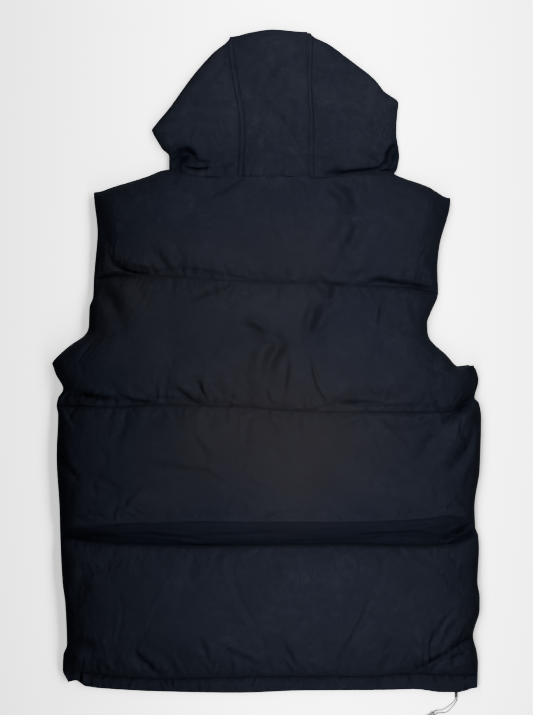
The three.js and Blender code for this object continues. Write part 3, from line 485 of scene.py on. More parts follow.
route = through(cord_route(), 6)
cord, cord_length = tube("elastic_drawcord", route, CORD_DIAMETER / 2, elastic)
print(f"drawcord: {cord_length * 1000:.0f} mm long, {CORD_DIAMETER * 1000:.1f} mm thick")

# %% [markdown]
# ## Modelling hard pieces by hand
# The cord lock, the sleeve, the slider, its pull and the zip's teeth are small hard pieces, each
# started from a primitive and shaped with edit-mode operators. An operator works on whatever is
# selected, so a helper opens edit mode with only the faces that pass a test.

# %% Operator helpers
def add_block(name, size, middle):
    """A box of a given size, already applied, as the only thing selected."""
    pick()
    bpy.ops.mesh.primitive_cube_add(size=1, location=middle)
    block = bpy.context.object
    block.name = block.data.name = name
    block.scale = size
    bpy.ops.object.transform_apply(location=True, rotation=True, scale=True)
    return block


def add_rod(name, radius, length, middle, turn, sides=24):
    """A cylinder along Z that is turned, already applied, as the only thing selected."""
    pick()
    size = {"vertices": sides, "radius": radius, "depth": length}
    bpy.ops.mesh.primitive_cylinder_add(location=middle, rotation=turn, **size)
    bpy.ops.object.transform_apply(location=True, rotation=True, scale=True)
    rod = bpy.context.object
    rod.name = rod.data.name = name
    return rod


def finish_with(piece, material):
    """Gives a piece one material in place of any that it has."""
    piece.data.materials.clear()
    piece.data.materials.append(material)
    return piece


def edit_faces(piece, test, *steps):
    """Runs operators in edit mode on the faces whose middle and normal pass a test."""
    pick(piece)
    bpy.ops.object.mode_set(mode="EDIT")
    bpy.ops.mesh.select_mode(type="FACE")
    form = bmesh.from_edit_mesh(piece.data)
    for face in form.faces:
        face.select_set(bool(test(face.calc_center_median(), face.normal)))
    bmesh.update_edit_mesh(piece.data)
    for step in steps:
        step()
    bpy.ops.object.mode_set(mode="OBJECT")
    return piece


def round_off(piece, width, segments=3, angle=30, material=None):
    """Bevels every edge sharper than an angle, applies it and shades the piece smooth."""
    pick(piece)
    bevel = piece.modifiers.new("edges", "BEVEL")
    bevel.width, bevel.segments, bevel.angle_limit = width, segments, math.radians(angle)
    bpy.ops.object.modifier_apply(modifier="edges")
    bpy.ops.object.shade_smooth_by_angle(angle=math.radians(40))
    return finish_with(piece, material) if material else piece


def join(name, *pieces):
    """Joins pieces into the first one."""
    pick(*pieces)
    bpy.ops.object.join()
    pieces[0].name = pieces[0].data.name = name
    return pieces[0]


def cut_with(piece, cutter):
    """Subtracts a cutter from a piece and removes the cutter."""
    pick(piece)
    cut = piece.modifiers.new("cut", "BOOLEAN")
    cut.operation, cut.solver, cut.object = "DIFFERENCE", "EXACT", cutter
    bpy.ops.object.modifier_apply(modifier="cut")
    bpy.data.objects.remove(cutter, do_unlink=True)
    return piece


# %% [markdown]
# ## Cord lock
# A cord lock is a moulded barrel with a spring button in its loop end. The barrel is a block whose
# long sides are pinched at the waist for the fingers, with a shallow inset on its upper face. The
# button is a smaller block that stands out of one end. Two bores run through both for the cord.

# %% Cord lock
CORD_BORE_RADIUS = 0.00135
PINCH = 0.16  # how much narrower the barrel is at its waist, as a share


def cord_lock():
    barrel_length, barrel_y = LOCK_LENGTH * 0.72, -LOCK_LENGTH * 0.14
    size = (LOCK_WIDTH, barrel_length, LOCK_THICKNESS)
    barrel = add_block("cord_lock_barrel", size, (0, barrel_y, 0))
    edit_faces(barrel, lambda at, normal: True, lambda: bpy.ops.mesh.subdivide(number_cuts=3))
    for vertex in barrel.data.vertices:
        from_waist = (vertex.co.y - barrel_y) / (0.3 * barrel_length)
        vertex.co.x *= 1 - PINCH * math.exp(-(from_waist**2))

    def on_grip(at, normal):
        return normal.z > 0.9 and abs(at.x) < 0.3 * LOCK_WIDTH and abs(at.y - barrel_y) < 0.0036

    edit_faces(barrel, on_grip, lambda: bpy.ops.mesh.inset(thickness=0.0005, depth=-0.0005))
    round_off(barrel, 0.0011, angle=50)
    size = (LOCK_WIDTH * 0.7, LOCK_LENGTH * 0.26, LOCK_THICKNESS * 0.72)
    button = add_block("cord_lock_button", size, (0, 0, 0))
    button.data.transform(Matrix.Translation((0, LOCK_LENGTH * 0.37, 0)))
    edit_faces(
        button,
        lambda at, normal: normal.y > 0.9,
        lambda: bpy.ops.mesh.inset(thickness=0.0009),
        lambda: bpy.ops.transform.translate(value=(0, 0.0004, 0)),
    )
    round_off(button, 0.0009)
    return barrel, button


def stand(piece, turn, place):
    """Turns a finished piece about the vertical and moves it, in its mesh."""
    piece.data.transform(Matrix.Translation(place) @ Matrix.Rotation(turn, 4, "Z"))
    return piece


def bored(piece):
    """Cuts both of the cord's bores along a piece."""
    for x in (-BORE_APART, BORE_APART):
        cut_with(piece, add_rod("bore", CORD_BORE_RADIUS, 0.03, (x, 0, 0), (math.pi / 2, 0, 0)))
    return piece


lock_parts = [bored(part) for part in cord_lock()]
cord_lock_piece = finish_with(join("cord_lock_body", *lock_parts), lock_plastic)
stand(cord_lock_piece, LOCK_ANGLE - math.pi / 2, (*LOCK_CENTRE, LOCK_Z))
print("cord lock:", len(cord_lock_piece.data.polygons), "faces")

# %% [markdown]
# ## Cord sleeve
# The cord leaves the hem through a short sewn sleeve. It starts as a cylinder. Its mouth is inset
# and pushed in, so that it reads as a tube, and a bevel rolls its lip.

# %% Cord sleeve
def cord_sleeve():
    size = (CORD_SLEEVE_RADIUS, CORD_SLEEVE_LENGTH)
    middle = (CORD_SLEEVE_X, SLEEVE_END_Y + CORD_SLEEVE_LENGTH / 2, CORD_SLEEVE_Z)
    sleeve = add_rod("drawcord_sleeve", *size, middle, (math.pi / 2, 0, 0))
    edit_faces(
        sleeve,
        lambda at, normal: normal.y < -0.9,
        lambda: bpy.ops.mesh.inset(thickness=0.0004),
        lambda: bpy.ops.mesh.extrude_region_move(TRANSFORM_OT_translate={"value": (0, 0.0003, 0)}),
    )
    return round_off(sleeve, 0.00025, segments=2, material=tape)


sleeve = cord_sleeve()
print("cord sleeve:", len(sleeve.data.polygons), "faces")

# %% [markdown]
# ## The vest's lines
# Everything soft is worked out from a few lines measured in the photo: the body's two edges, the
# four lines of quilting, the hem, the shoulders and neck, and the hood's outline and seams.
# Each line is a short table of places in metres. A monotone cubic joins them, so a line is smooth
# and never overshoots a place it was given.

# %% Curves from tables
def curve(*table):
    """A smooth curve through rows of (position, value), as a function of position."""
    at, value = np.array(table, float).T
    slope = np.diff(value) / np.diff(at)
    tangent = np.zeros(len(at))
    before, after = slope[:-1], slope[1:]
    same_way = before * after > 0
    tangent[1:-1][same_way] = 2 * (before * after)[same_way] / (before + after)[same_way]

    def read(x):
        x = np.clip(x, at[0], at[-1])
        k = np.clip(np.searchsorted(at, x, "right") - 1, 0, len(at) - 2)
        span = at[k + 1] - at[k]
        t = (x - at[k]) / span
        start = value[k] * (1 + 2 * t) * (1 - t) ** 2 + tangent[k] * span * t * (1 - t) ** 2
        end = value[k + 1] * t * t * (3 - 2 * t) + tangent[k + 1] * span * t * t * (t - 1)
        return start + end

    read.start, read.end = (at[0], value[0]), (at[-1], value[-1])
    return read


def smooth(t):
    t = np.clip(t, 0, 1)
    return t * t * (3 - 2 * t)


def between(t, low, high, in_over, out_over):
    """1 between two places, with a smooth way in after the first and out again before the second."""
    return smooth((t - low) / in_over) * smooth((high - t) / out_over)


def rise(t):
    """A quarter round: steep at 0 and level from 1 on."""
    return np.sqrt(1 - (1 - np.clip(t, 0, 1)) ** 2)


def mix(a, b, t):
    return a + (b - a) * t


def bow(y, low, high):
    """A half wave between two places, and 0 outside them."""
    return np.sin(math.pi * np.clip((y - low) / (high - low), 0, 1))


def clustered(count, amount):
    """Steps from 0 to 1 that are closer together near both ends."""
    even = np.linspace(0, 1, count + 1)
    return mix(even, 0.5 - 0.5 * np.cos(math.pi * even), amount)


# %% Body lines
# The edges, as rows of (y, x)
left_edge = curve(
    (-0.44, -0.273), (-0.423, -0.28), (-0.402, -0.279), (-0.388, -0.274), (-0.334, -0.276),
    (-0.301, -0.28), (-0.24, -0.283), (-0.203, -0.284), (-0.129, -0.288), (-0.073, -0.286),
    (-0.061, -0.288), (-0.05, -0.286), (-0.038, -0.279), (-0.018, -0.289), (-0.005, -0.2935),
    (-0.002, -0.2945), (0.002, -0.2915), (0.022, -0.27), (0.038, -0.248), (0.048, -0.244),
    (0.074, -0.243), (0.089, -0.238), (0.113, -0.237), (0.137, -0.235), (0.176, -0.232), (0.232, -0.237),
)
right_edge = curve(
    (-0.448, 0.289), (-0.414, 0.29), (-0.397, 0.288), (-0.376, 0.283), (-0.339, 0.292), (-0.322, 0.292),
    (-0.303, 0.289), (-0.255, 0.291), (-0.238, 0.29), (-0.227, 0.286), (-0.199, 0.285), (-0.147, 0.292),
    (-0.076, 0.294), (-0.057, 0.291), (-0.05, 0.285), (-0.047, 0.2845), (-0.025, 0.2875),
    (-0.009, 0.285), (-0.004, 0.283), (-0.002, 0.266), (0.001, 0.262), (0.017, 0.248), (0.043, 0.221),
    (0.056, 0.22), (0.069, 0.225), (0.094, 0.235), (0.125, 0.234), (0.15, 0.236), (0.224, 0.252),
)
# The lines across, as rows of (x, y), from the hem up
hem_edge = curve(
    (-0.273, -0.44), (-0.262, -0.438), (-0.248, -0.446), (-0.209, -0.45), (-0.148, -0.453),
    (-0.041, -0.455), (0.046, -0.452), (0.169, -0.451), (0.202, -0.45), (0.24, -0.454),
    (0.262, -0.454), (0.289, -0.448),
)
hem_seam = curve(
    (-0.28, -0.423), (-0.209, -0.43), (-0.14, -0.434), (0.026, -0.431), (0.143, -0.431), (0.19, -0.427),
    (0.29, -0.429),
)
low_seam = curve(
    (-0.283, -0.24), (-0.242, -0.246), (-0.202, -0.249), (-0.077, -0.252), (0.095, -0.25),
    (0.202, -0.252), (0.256, -0.25), (0.29, -0.238),
)
mid_seam = curve(
    (-0.288, -0.061), (-0.209, -0.062), (-0.158, -0.059), (-0.033, -0.062), (0.019, -0.066),
    (0.092, -0.068), (0.207, -0.069), (0.25, -0.068), (0.284, -0.05),
)
high_seam = curve(
    (-0.237, 0.113), (-0.209, 0.117), (-0.155, 0.117), (-0.043, 0.11), (0.092, 0.105), (0.194, 0.101),
    (0.235, 0.094),
)
top_edge = curve(
    (-0.237, 0.232), (-0.201, 0.2405), (-0.168, 0.2505), (-0.134, 0.2615), (-0.098, 0.256),
    (-0.043, 0.2525), (0.011, 0.252), (0.057, 0.253), (0.107, 0.256), (0.159, 0.26), (0.184, 0.251),
    (0.22, 0.238), (0.252, 0.224),
)
back_length, back_width = top_edge(0.01) - hem_edge(0.01), right_edge(-0.1) - left_edge(-0.1)
print(f"the back is {back_length:.3f} m long and {back_width:.3f} m wide")

# %% [markdown]
# ## How the layers lie
# The vest lies in two layers that meet inside the body, lower along the edges, where only the seams
# keep them apart, and along the zip. The back swells up from there. The fronts swell down, and the
# floor presses them flat.

# %% Layers
SEAM_GAP, LAYER_GAP = 0.0003, 0.0015
SEAM_LAP = 0.0002  # how far sewn pieces reach into each other, so that no light shows between them
BODY_LAYER, EDGE_LAYER, HEM_LAYER = 0.019, 0.010, 0.0055
LAYER_SLOPE, HEM_SLOPE, HEM_SLOPE_START = 0.070, 0.080, -0.430
SEAM_THICKNESS = 0.003
BACK_LOFT, BACK_SINKING = 0.024, 0.25
ROUND_LOWER, ROUND_UPPER, ROUND_NECK = 0.036, 0.036, 0.036
ROUND_SIDE, ROUND_SHOULDER, ROUND_FRONT = 0.028, 0.032, 0.026
QUILTING_LIFT = 0.010  # how far the filling on both sides lifts the lines of quilting inside the back
NECK_SWELL = 0.7  # how far the yoke and the hood have swelled where they are sewn together, as a share
FRONT_FLATTENING = 1.2
ZIP_X, ZIP_HALF_OPENING = 0.006, 0.0103
ZIP_TOP, ZIP_BOTTOM = 0.232, -0.449
NECK_LEFT, NECK_RIGHT = -0.134, 0.159
LEAST_CLOTH = 0.0015  # no panel is thinner than this
SEAM_HOLD = 0.004  # the stitches hold the cloth down this far from a seam
FRONT_NECK_Y, FRONT_NECK_CURVE, NECK_EASE = 0.175, 1.8, 0.0003
VALLEY_SHARE, LIP_SHARE, RIDGE_SHARE, BRINK_SHARE = 0.01, 0.12, 0.70, 0.98  # of the loft, up the low strip
STREAKS, GATHERED = 0.016, 0.25
LIP_OVERHANG, RIM_OVERHANG = 0.0040, 0.0026


def along_neck(x):
    """1 along the neck, and 0 at its two ends."""
    return between(x, NECK_LEFT, NECK_RIGHT, 0.03, 0.03)


def front_top(x):
    """The fronts' top edge: the shoulder, then the neckline down to the zip."""
    side = np.where(x < ZIP_X, -1.0, 1.0)
    neck = np.where(side < 0, NECK_LEFT, NECK_RIGHT)
    start = ZIP_X + side * ZIP_HALF_OPENING
    share = (x - start) / (neck - start)
    neckline = mix(FRONT_NECK_Y, top_edge(neck), np.clip(share, 0, 1) ** FRONT_NECK_CURVE)
    return np.where(share >= 1, top_edge(x), neckline)


def edge_layer(y):
    return mix(HEM_LAYER, EDGE_LAYER, smooth((y - HEM_SLOPE_START) / HEM_SLOPE))


def distances(x, y):
    """How far places are from the body's edges, and from the zip's opening."""
    edges = [x - left_edge(y), right_edge(y) - x, y - hem_seam(x), front_top(x) - y]
    return np.minimum.reduce(edges), np.abs(x - ZIP_X) - ZIP_HALF_OPENING


def layer_height(x, y, sinking):
    """Where the layers meet, and how far a layer sinks in over the zip, from 0 to 1."""
    from_edges, from_zip = distances(x, y)
    level = mix(edge_layer(y), BODY_LAYER, smooth(from_edges / LAYER_SLOPE))
    sunk = mix(edge_layer(y), BODY_LAYER, smooth(np.minimum(from_edges, from_zip) / LAYER_SLOPE))
    return mix(level, sunk, sinking)


def half_gap(x, y):
    from_edges, from_zip = distances(x, y)
    return mix(SEAM_GAP, LAYER_GAP, np.clip(np.minimum(from_edges, from_zip) / 0.012, 0, 1)) / 2


# %% [markdown]
# ## Folds
# A fold is a soft trough or ridge along a few points, deepest in its middle. On real cloth one side
# of a trough is pushed up more than the other, so each fold also leans: it raises a gentle ridge on
# its left, or on its right if the lean is below 0. The main folds are placed where the photo shows
# them.

# %% Folds along lines
def along_line(x, y, points):
    """For every place: its distance to a line of points, signed by its side, and how far along it is."""
    points = np.asarray(points, float)
    lengths = np.linalg.norm(np.diff(points, axis=0), axis=1)
    nearest = np.full(x.shape, np.inf)
    share = np.zeros(x.shape)
    done = 0.0
    for (ax, ay), (bx, by), length in zip(points, points[1:], lengths):
        t = np.clip(((x - ax) * (bx - ax) + (y - ay) * (by - ay)) / length**2, 0, 1)
        dx, dy = x - ax - t * (bx - ax), y - ay - t * (by - ay)
        off = np.hypot(dx, dy)
        side = np.where((bx - ax) * dy - (by - ay) * dx >= 0, 1.0, -1.0)
        closer = off < np.abs(nearest)
        nearest = np.where(closer, off * side, nearest)
        share = np.where(closer, (done + t * length) / lengths.sum(), share)
        done += length
    return nearest, share


def fold_height(x, y, folds):
    """The height that a list of folds adds. Each is (points, width, height, lean), with troughs below 0."""
    total = np.zeros(x.shape)
    for points, width, height, lean in folds:
        reach = 3.5 * width
        xs, ys = [p[0] for p in points], [p[1] for p in points]
        near = (x > min(xs) - reach) & (x < max(xs) + reach) & (y > min(ys) - reach) & (y < max(ys) + reach)
        if not near.any():
            continue
        off, share = along_line(x[near], y[near], points)
        strength = np.sin(math.pi * (0.06 + 0.88 * share)) ** 0.7
        trough = np.exp(-((off / width) ** 2))
        ridge = np.exp(-(((off - math.copysign(1.7, lean) * width) / (1.15 * width)) ** 2))
        total[near] += height * strength * (trough - abs(lean) * ridge)
    return total


# %% Tucks, where cloth hangs over a trough
def tucked(x, y, tucks):
    """How far tucks move the cloth. In each, (points, width, depth, reach), the left side hangs over."""
    moved = np.zeros((*x.shape, 3))
    for points, width, depth, reach in tucks:
        off, share = along_line(x, y, points)
        strength = bow(share, -0.08, 1.08) ** 0.7
        ahead = np.subtract(points[-1], points[0])
        ahead = ahead / np.hypot(*ahead)
        lip = strength * np.exp(-(((off - 1.3 * width) / width) ** 2))
        moved[..., 0] += reach * lip * ahead[1]
        moved[..., 1] -= reach * lip * ahead[0]
        moved[..., 2] += depth * (0.25 * lip - strength * np.exp(-((off / width) ** 2)))
    return moved


def in_tucks(x, y, tucks):
    """How deep places lie in the troughs of tucks, from 0 to 1."""
    deep = np.zeros(x.shape)
    for points, width, *_ in tucks:
        off, share = along_line(x, y, points)
        deep = np.maximum(deep, bow(share, -0.08, 1.08) ** 0.7 * np.exp(-((off / (1.3 * width)) ** 2)))
    return deep


# %% Puckers beside a seam
def faint_creases(seed, count, low, high, width, depth):
    """Faint short creases at random places between two corners, most of them on a slant."""
    random = np.random.default_rng(seed)
    folds = []
    for _ in range(count):
        start = random.uniform(low, high)
        angle = random.normal(math.radians(58), 0.5) * random.choice([-1, 1])
        bend, reach = random.normal(0, 0.25), random.uniform(0.012, 0.050)
        middle = start + 0.5 * reach * np.array([math.cos(angle + bend), math.sin(angle + bend)])
        end = start + reach * np.array([math.cos(angle), math.sin(angle)])
        size, deep = width * random.uniform(0.6, 1.6), -depth * random.uniform(0.3, 1)
        folds.append(([start, middle, end], size, deep, random.choice([-0.8, 0.8])))
    return folds


def puckers(seed, seam, above, spacing, length, width, depth, ends=None):
    """Short folds that run from a seam into the cloth above it, or below it, where it is gathered."""
    random = np.random.default_rng(seed)
    side = 1 if above else -1
    x, last = ends or (seam.start[0] + 0.012, seam.end[0] - 0.012)
    folds = []
    while x < last:
        strength = random.uniform(0.35, 1.0)
        reach = length * random.uniform(0.35, 1.0) * strength
        drift = reach * random.normal(0, 0.38)
        start = (x, float(seam(x)) + side * 0.001)
        middle = (x + 0.4 * drift, start[1] + side * 0.5 * reach)
        end = (x + drift, start[1] + side * reach)
        size = width * random.uniform(0.7, 1.4)
        folds.append(([start, middle, end], size, -depth * strength, random.choice([-0.7, 0.7])))
        x += spacing * random.uniform(0.45, 1.7)
    return folds


# %% [markdown]
# ## Settling the cloth
# Sewing shortens a line of cloth by a few parts in a hundred, and the filling pushes the rest up.
# Blender's cloth can show what that does: the seams are pinned, the cloth between them is given a
# little more length than it has room for, and pressure lifts it. It runs on a coarse grid of the
# panel for a few frames. What comes out is how far each point moved, which is limited, smoothed on
# to the fine grid and added to the panel's own form.

# %% Cloth settling
CLOTH = {
    "quality": 4,
    "mass": 0.15,
    "tension_stiffness": 18,
    "compression_stiffness": 18,
    "shear_stiffness": 6,
    "bending_stiffness": 0.25,
    "air_damping": 2.0,
    "vertex_group_mass": "seams",
    "use_pressure": True,
}


def settled(name, grid, pinned, slack, pressure, limit, frames=16):
    """How far each point of a grid moves when its cloth is longer than its seams and filled from below."""
    rows, columns = grid.shape[:2]
    index = np.arange(rows * columns).reshape(rows, columns)
    start = grid + np.random.default_rng(7).normal(0, 0.0003, grid.shape) * (1 - pinned[..., None])
    piece = link(name, start.reshape(-1, 3), grid_faces(index), shell)
    pins = piece.vertex_groups.new(name="seams")
    weights = pinned.ravel()
    for level in np.unique(np.round(weights, 2)):
        chosen = np.flatnonzero(np.round(weights, 2) == level)
        if level > 0:
            pins.add(chosen.tolist(), float(level), "REPLACE")
    cloth = piece.modifiers.new("cloth", "CLOTH")
    for setting, value in CLOTH.items():
        setattr(cloth.settings, setting, value)
    cloth.settings.shrink_min = -slack
    cloth.settings.uniform_pressure_force = pressure
    cloth.settings.effector_weights.gravity = 0
    cloth.collision_settings.use_collision = False
    cloth.point_cache.frame_end = frames
    for step in range(1, frames + 1):
        scene.frame_set(step)
    done = piece.evaluated_get(bpy.context.evaluated_depsgraph_get())
    points = np.empty(rows * columns * 3, np.float32)
    done.data.vertices.foreach_get("co", points)
    bpy.data.objects.remove(piece, do_unlink=True)
    scene.frame_set(1)
    moved = points.reshape(rows, columns, 3) - grid
    far = np.linalg.norm(moved, axis=2, keepdims=True)
    print(f"{name} moved {far.mean() * 1000:.1f} mm on average and {far.max() * 1000:.1f} mm at most")
    return moved * (limit * np.tanh(far / limit) / np.maximum(far, 1e-9))


def doubled(field):
    """A grid with twice as many points each way, on smooth curves through the ones it had."""
    for axis in (0, 1):
        field = np.moveaxis(field, axis, 0)
        wide = np.concatenate([2 * field[:1] - field[1:2], field, 2 * field[-1:] - field[-2:-1]])
        finer = np.empty((2 * len(field) - 1, *field.shape[1:]))
        finer[::2] = field
        finer[1::2] = (9 * (wide[1:-2] + wide[2:-1]) - wide[:-3] - wide[3:]) / 16
        field = np.moveaxis(finer, 0, axis)
    return field


# %% [markdown]
# ## Back panel
# The back has four baffles. Each swells from the quilting line below it to the one above it, and
# rounds off at the sides. Just above the low seam lies a sunk flat strip, between the rim of the
# baffle below, which bulges over it, and a sharp ridge. Beside the two upper lines a low band of
# cloth lies in front of the full baffle, and beside the neck the yoke and the hood meet in a
# groove.

# %% Back panel's form
BAFFLES = [(hem_seam, low_seam), (low_seam, mid_seam), (mid_seam, high_seam), (high_seam, top_edge)]
BAFFLE_ROWS, STRIP_ROWS, BACK_COLUMNS = 56, 48, 300
# How high the cloth above the middle and high seams stays low before it swells, as rows of (x, height)
mid_band = curve(
    (-0.286, 0.003), (-0.272, 0.017), (-0.24, 0.018), (-0.2, 0.011), (-0.165, 0.006), (-0.14, 0.01),
    (-0.105, 0.007), (-0.08, 0.003), (-0.06, 0.004), (-0.035, 0.001), (0.06, 0.001), (0.078, 0.008),
    (0.105, 0.013), (0.15, 0.009), (0.2, 0.01), (0.24, 0.005), (0.284, 0.002),
)
high_band = curve(
    (-0.237, 0.003), (-0.19, 0.004), (-0.15, 0.005), (-0.135, 0.01), (-0.09, 0.011), (-0.05, 0.006),
    (-0.02, 0.002), (0.06, 0.002), (0.135, 0.003), (0.15, 0.009), (0.19, 0.009), (0.235, 0.004),
)
EASING_SHIFTS = np.linspace(-0.03, 0.03, 13)  # an edge is averaged over these places along it
EDGE_POWER = 9  # how fast the columns turn from the eased edges to the true ones, near the sides
BAND_SHARE = 0.40  # how far a band has swelled beside the cloth above it
SEAM_RELIEF = 0.30  # how far the quilting has swelled inside the back, as a share of the loft
HEM_RELIEF, ROUND_HEM = 0.26, 0.024
# How much the hood's lower edge hangs over the yoke along the neck, as rows of (x, share)
neck_overhang = curve(
    (-0.134, 0.6), (-0.112, 0.9), (-0.095, 1.2), (-0.078, 0.8), (-0.06, 0.25), (-0.035, 0.15),
    (-0.02, 0.0), (0.05, 0.0), (0.066, 0.6), (0.085, 1.4), (0.103, 1.4), (0.114, 0.8), (0.15, 0.8),
    (0.162, 0.0),
)
NECK_GROOVE, NECK_OVERLAP = 0.45, 0.0022
# How high the strip's lip and its ridge lie above the low seam, as rows of (x, height)
strip_lip = curve(
    (-0.285, 0.005), (-0.245, 0.014), (-0.198, 0.013), (-0.139, 0.011), (-0.094, 0.0055), (-0.053, 0.0075),
    (0.011, 0.01), (0.096, 0.0105), (0.187, 0.017), (0.235, 0.015), (0.262, 0.012), (0.29, 0.004),
)
strip_ridge = curve(
    (-0.285, 0.013), (-0.245, 0.0205), (-0.198, 0.0276), (-0.139, 0.0305), (-0.094, 0.033), (0.011, 0.031),
    (0.096, 0.03), (0.187, 0.0347), (0.224, 0.038), (0.247, 0.04), (0.26, 0.037), (0.29, 0.016),
)


def plump(t):
    """A rise that starts steeply, as cloth beside a line of stitches, and then levels off slowly."""
    return 0.45 * rise(t / 0.45) + 0.55 * smooth(0.5 + 0.5 * np.clip(t, 0, 1)) * 2 - 0.55


def strip_swell(x, above_seam):
    """How far the strip above the low seam has swelled: a valley, a lip, a flat face and a sharp ridge."""
    lip, ridge = strip_lip(x), strip_ridge(x)
    valley = VALLEY_SHARE * np.clip(above_seam / lip, 0, 1)
    step = (LIP_SHARE - VALLEY_SHARE) * smooth((above_seam - lip) / 0.0018)
    face = (RIDGE_SHARE - LIP_SHARE) * np.clip((above_seam - lip) / (ridge - lip), 0, 1)
    over = (BRINK_SHARE - RIDGE_SHARE) * smooth((above_seam - ridge) / 0.0024)
    over = over + (1 - BRINK_SHARE) * plump((above_seam - ridge) / ROUND_UPPER)
    share = (above_seam - lip) / (ridge - lip)
    streaks = STREAKS * bow(share, 0, 1) * np.sin(20 * share + 2 * np.sin(17 * x) + np.sin(43 * x + 1))
    return valley + step + face + over + streaks - 0.05 * np.exp(-(((above_seam - ridge) / 0.0013) ** 2))


def uneven(x, phase):
    """A wave with many lengths, between about -1 and 1: how unevenly a seam gathers the cloth along it."""
    waves = [np.sin(turns * x + (k + 1) * phase) for k, turns in enumerate((31, 57, 97, 173))]
    return sum(waves) / 2.5


def swell(baffle, x, above_lower, below_upper):
    """How far a baffle has swelled, from 0 at its seams to 1, at a distance from each."""
    gathered_low = above_lower * (1 + GATHERED * uneven(x, baffle + 0.3))
    gathered_high = below_upper * (1 + GATHERED * uneven(x, baffle + 5.1))
    relief = SEAM_RELIEF * between(x, -0.20, 0.18, 0.15, 0.10)
    if baffle == 1:
        lower = strip_swell(x, above_lower)
    elif baffle == 0:
        lower = mix(HEM_RELIEF, 1, plump(gathered_low / ROUND_HEM))
    else:
        band = (mid_band if baffle == 2 else high_band)(x)
        banded = mix(BAND_SHARE, 1, smooth((above_lower - band) / 0.0035 + 0.3))
        lower = mix(relief, 1, plump(gathered_low / ROUND_LOWER) * banded)
    if baffle == 0:
        return lower * plump(below_upper / ROUND_UPPER)
    if baffle < 3:
        return lower * mix(relief, 1, plump(gathered_high / ROUND_UPPER))
    sewn = NECK_SWELL * along_neck(x)
    joined = between(x, -0.095, 0.080, 0.025, 0.025)
    t = below_upper / ROUND_NECK
    groove = NECK_GROOVE * neck_overhang(x) * np.exp(-((below_upper / 0.003) ** 2))
    return np.maximum(0, lower * mix(sewn, 1, mix(plump(t), smooth(t), joined)) - groove)


def strip_steps():
    """Steps from 0 to 1 up a baffle, close together through the strip at its lower end."""
    strip = 0.24
    in_strip = np.linspace(0, strip, STRIP_ROWS + 1)[:-1]
    return np.concatenate([in_strip, mix(strip, 1, clustered(BAFFLE_ROWS, 0.5))])


def eased(edge, y):
    """An edge without its sudden steps, so that the grid's columns inside the panel run evenly."""
    return sum(edge(y + shift) for shift in EASING_SHIFTS) / len(EASING_SHIFTS)


def baffle_places(baffle, left, right, upper, columns, steps):
    """A baffle's points row by row: x, y, and how far each is from the seams below, above and aside."""
    lower = BAFFLES[baffle][0]
    t = steps[:, None]
    u = clustered(columns, 0.45)[None, :]
    left_y = mix(lower.start[1], BAFFLES[baffle][1].start[1], t)
    right_y = mix(lower.end[1], BAFFLES[baffle][1].end[1], t)
    left_x, right_x = left(left_y), right(right_y)
    even_left, even_right = eased(left, left_y), eased(right, right_y)
    x = mix(even_left, even_right, u)
    x = x + (left_x - even_left) * (1 - u) ** EDGE_POWER + (right_x - even_right) * u**EDGE_POWER
    low = lower(x)
    high = upper(x)
    y = mix(low, high, t)
    return x, y, y - low, high - y, np.minimum(x - left_x, right_x - x)


def stacked(grids):
    """Grids one above the other, without the rows that they share."""
    return np.concatenate([grids[0]] + [grid[1:] for grid in grids[1:]])


def back_grids():
    fields = []
    for baffle in range(4):
        upper = BAFFLES[baffle][1]
        steps = strip_steps() if baffle == 1 else clustered(BAFFLE_ROWS, 0.6)
        x, y, above, below, aside = baffle_places(baffle, left_edge, right_edge, upper, BACK_COLUMNS, steps)
        round_side = ROUND_SHOULDER if baffle == 3 else ROUND_SIDE
        puff = swell(baffle, x, above, below) * plump(aside / round_side)
        seam_distance = np.minimum(above, below) if baffle < 3 else above
        if baffle == 1:
            hanging = between(above - strip_lip(x), 0, 0.012, 0.0018, 0.010)
            y = y - LIP_OVERHANG * hanging * smooth(aside / 0.020)
        if baffle == 0:
            bulging = between(below, 0, 0.014, 0.0012, 0.011)
            y = y + RIM_OVERHANG * bulging * smooth(aside / 0.020)
        fields.append(np.stack([x, y, puff, seam_distance, aside], -1))
    return np.moveaxis(stacked(fields), -1, 0)


x, y, back_puff, from_seam, from_side = back_grids()
back_low = layer_height(x, y, 1) + half_gap(x, y)
back_base = layer_height(x, y, BACK_SINKING) + half_gap(x, y) + SEAM_THICKNESS
from_ends = np.minimum(y - hem_seam(x), top_edge(x) - y)
lift = QUILTING_LIFT * smooth(from_ends / 0.070) * smooth(from_side / 0.060)
lift *= smooth(np.abs(y - low_seam(x)) / 0.040)
back_form = np.stack([x, y, back_base + lift + (BACK_LOFT - lift) * back_puff], -1)
print("back panel grid:", back_form.shape[:2], f"highest {back_form[..., 2].max() * 1000:.0f} mm")

# %% [markdown]
# ## Folds of the back
# These are the creases that the photo shows, as (points, width, height, lean), each in its own
# size. Broad shallow ones come first, then short sharp ones. Fine puckers beside each line of
# quilting are drawn at random from a fixed seed.

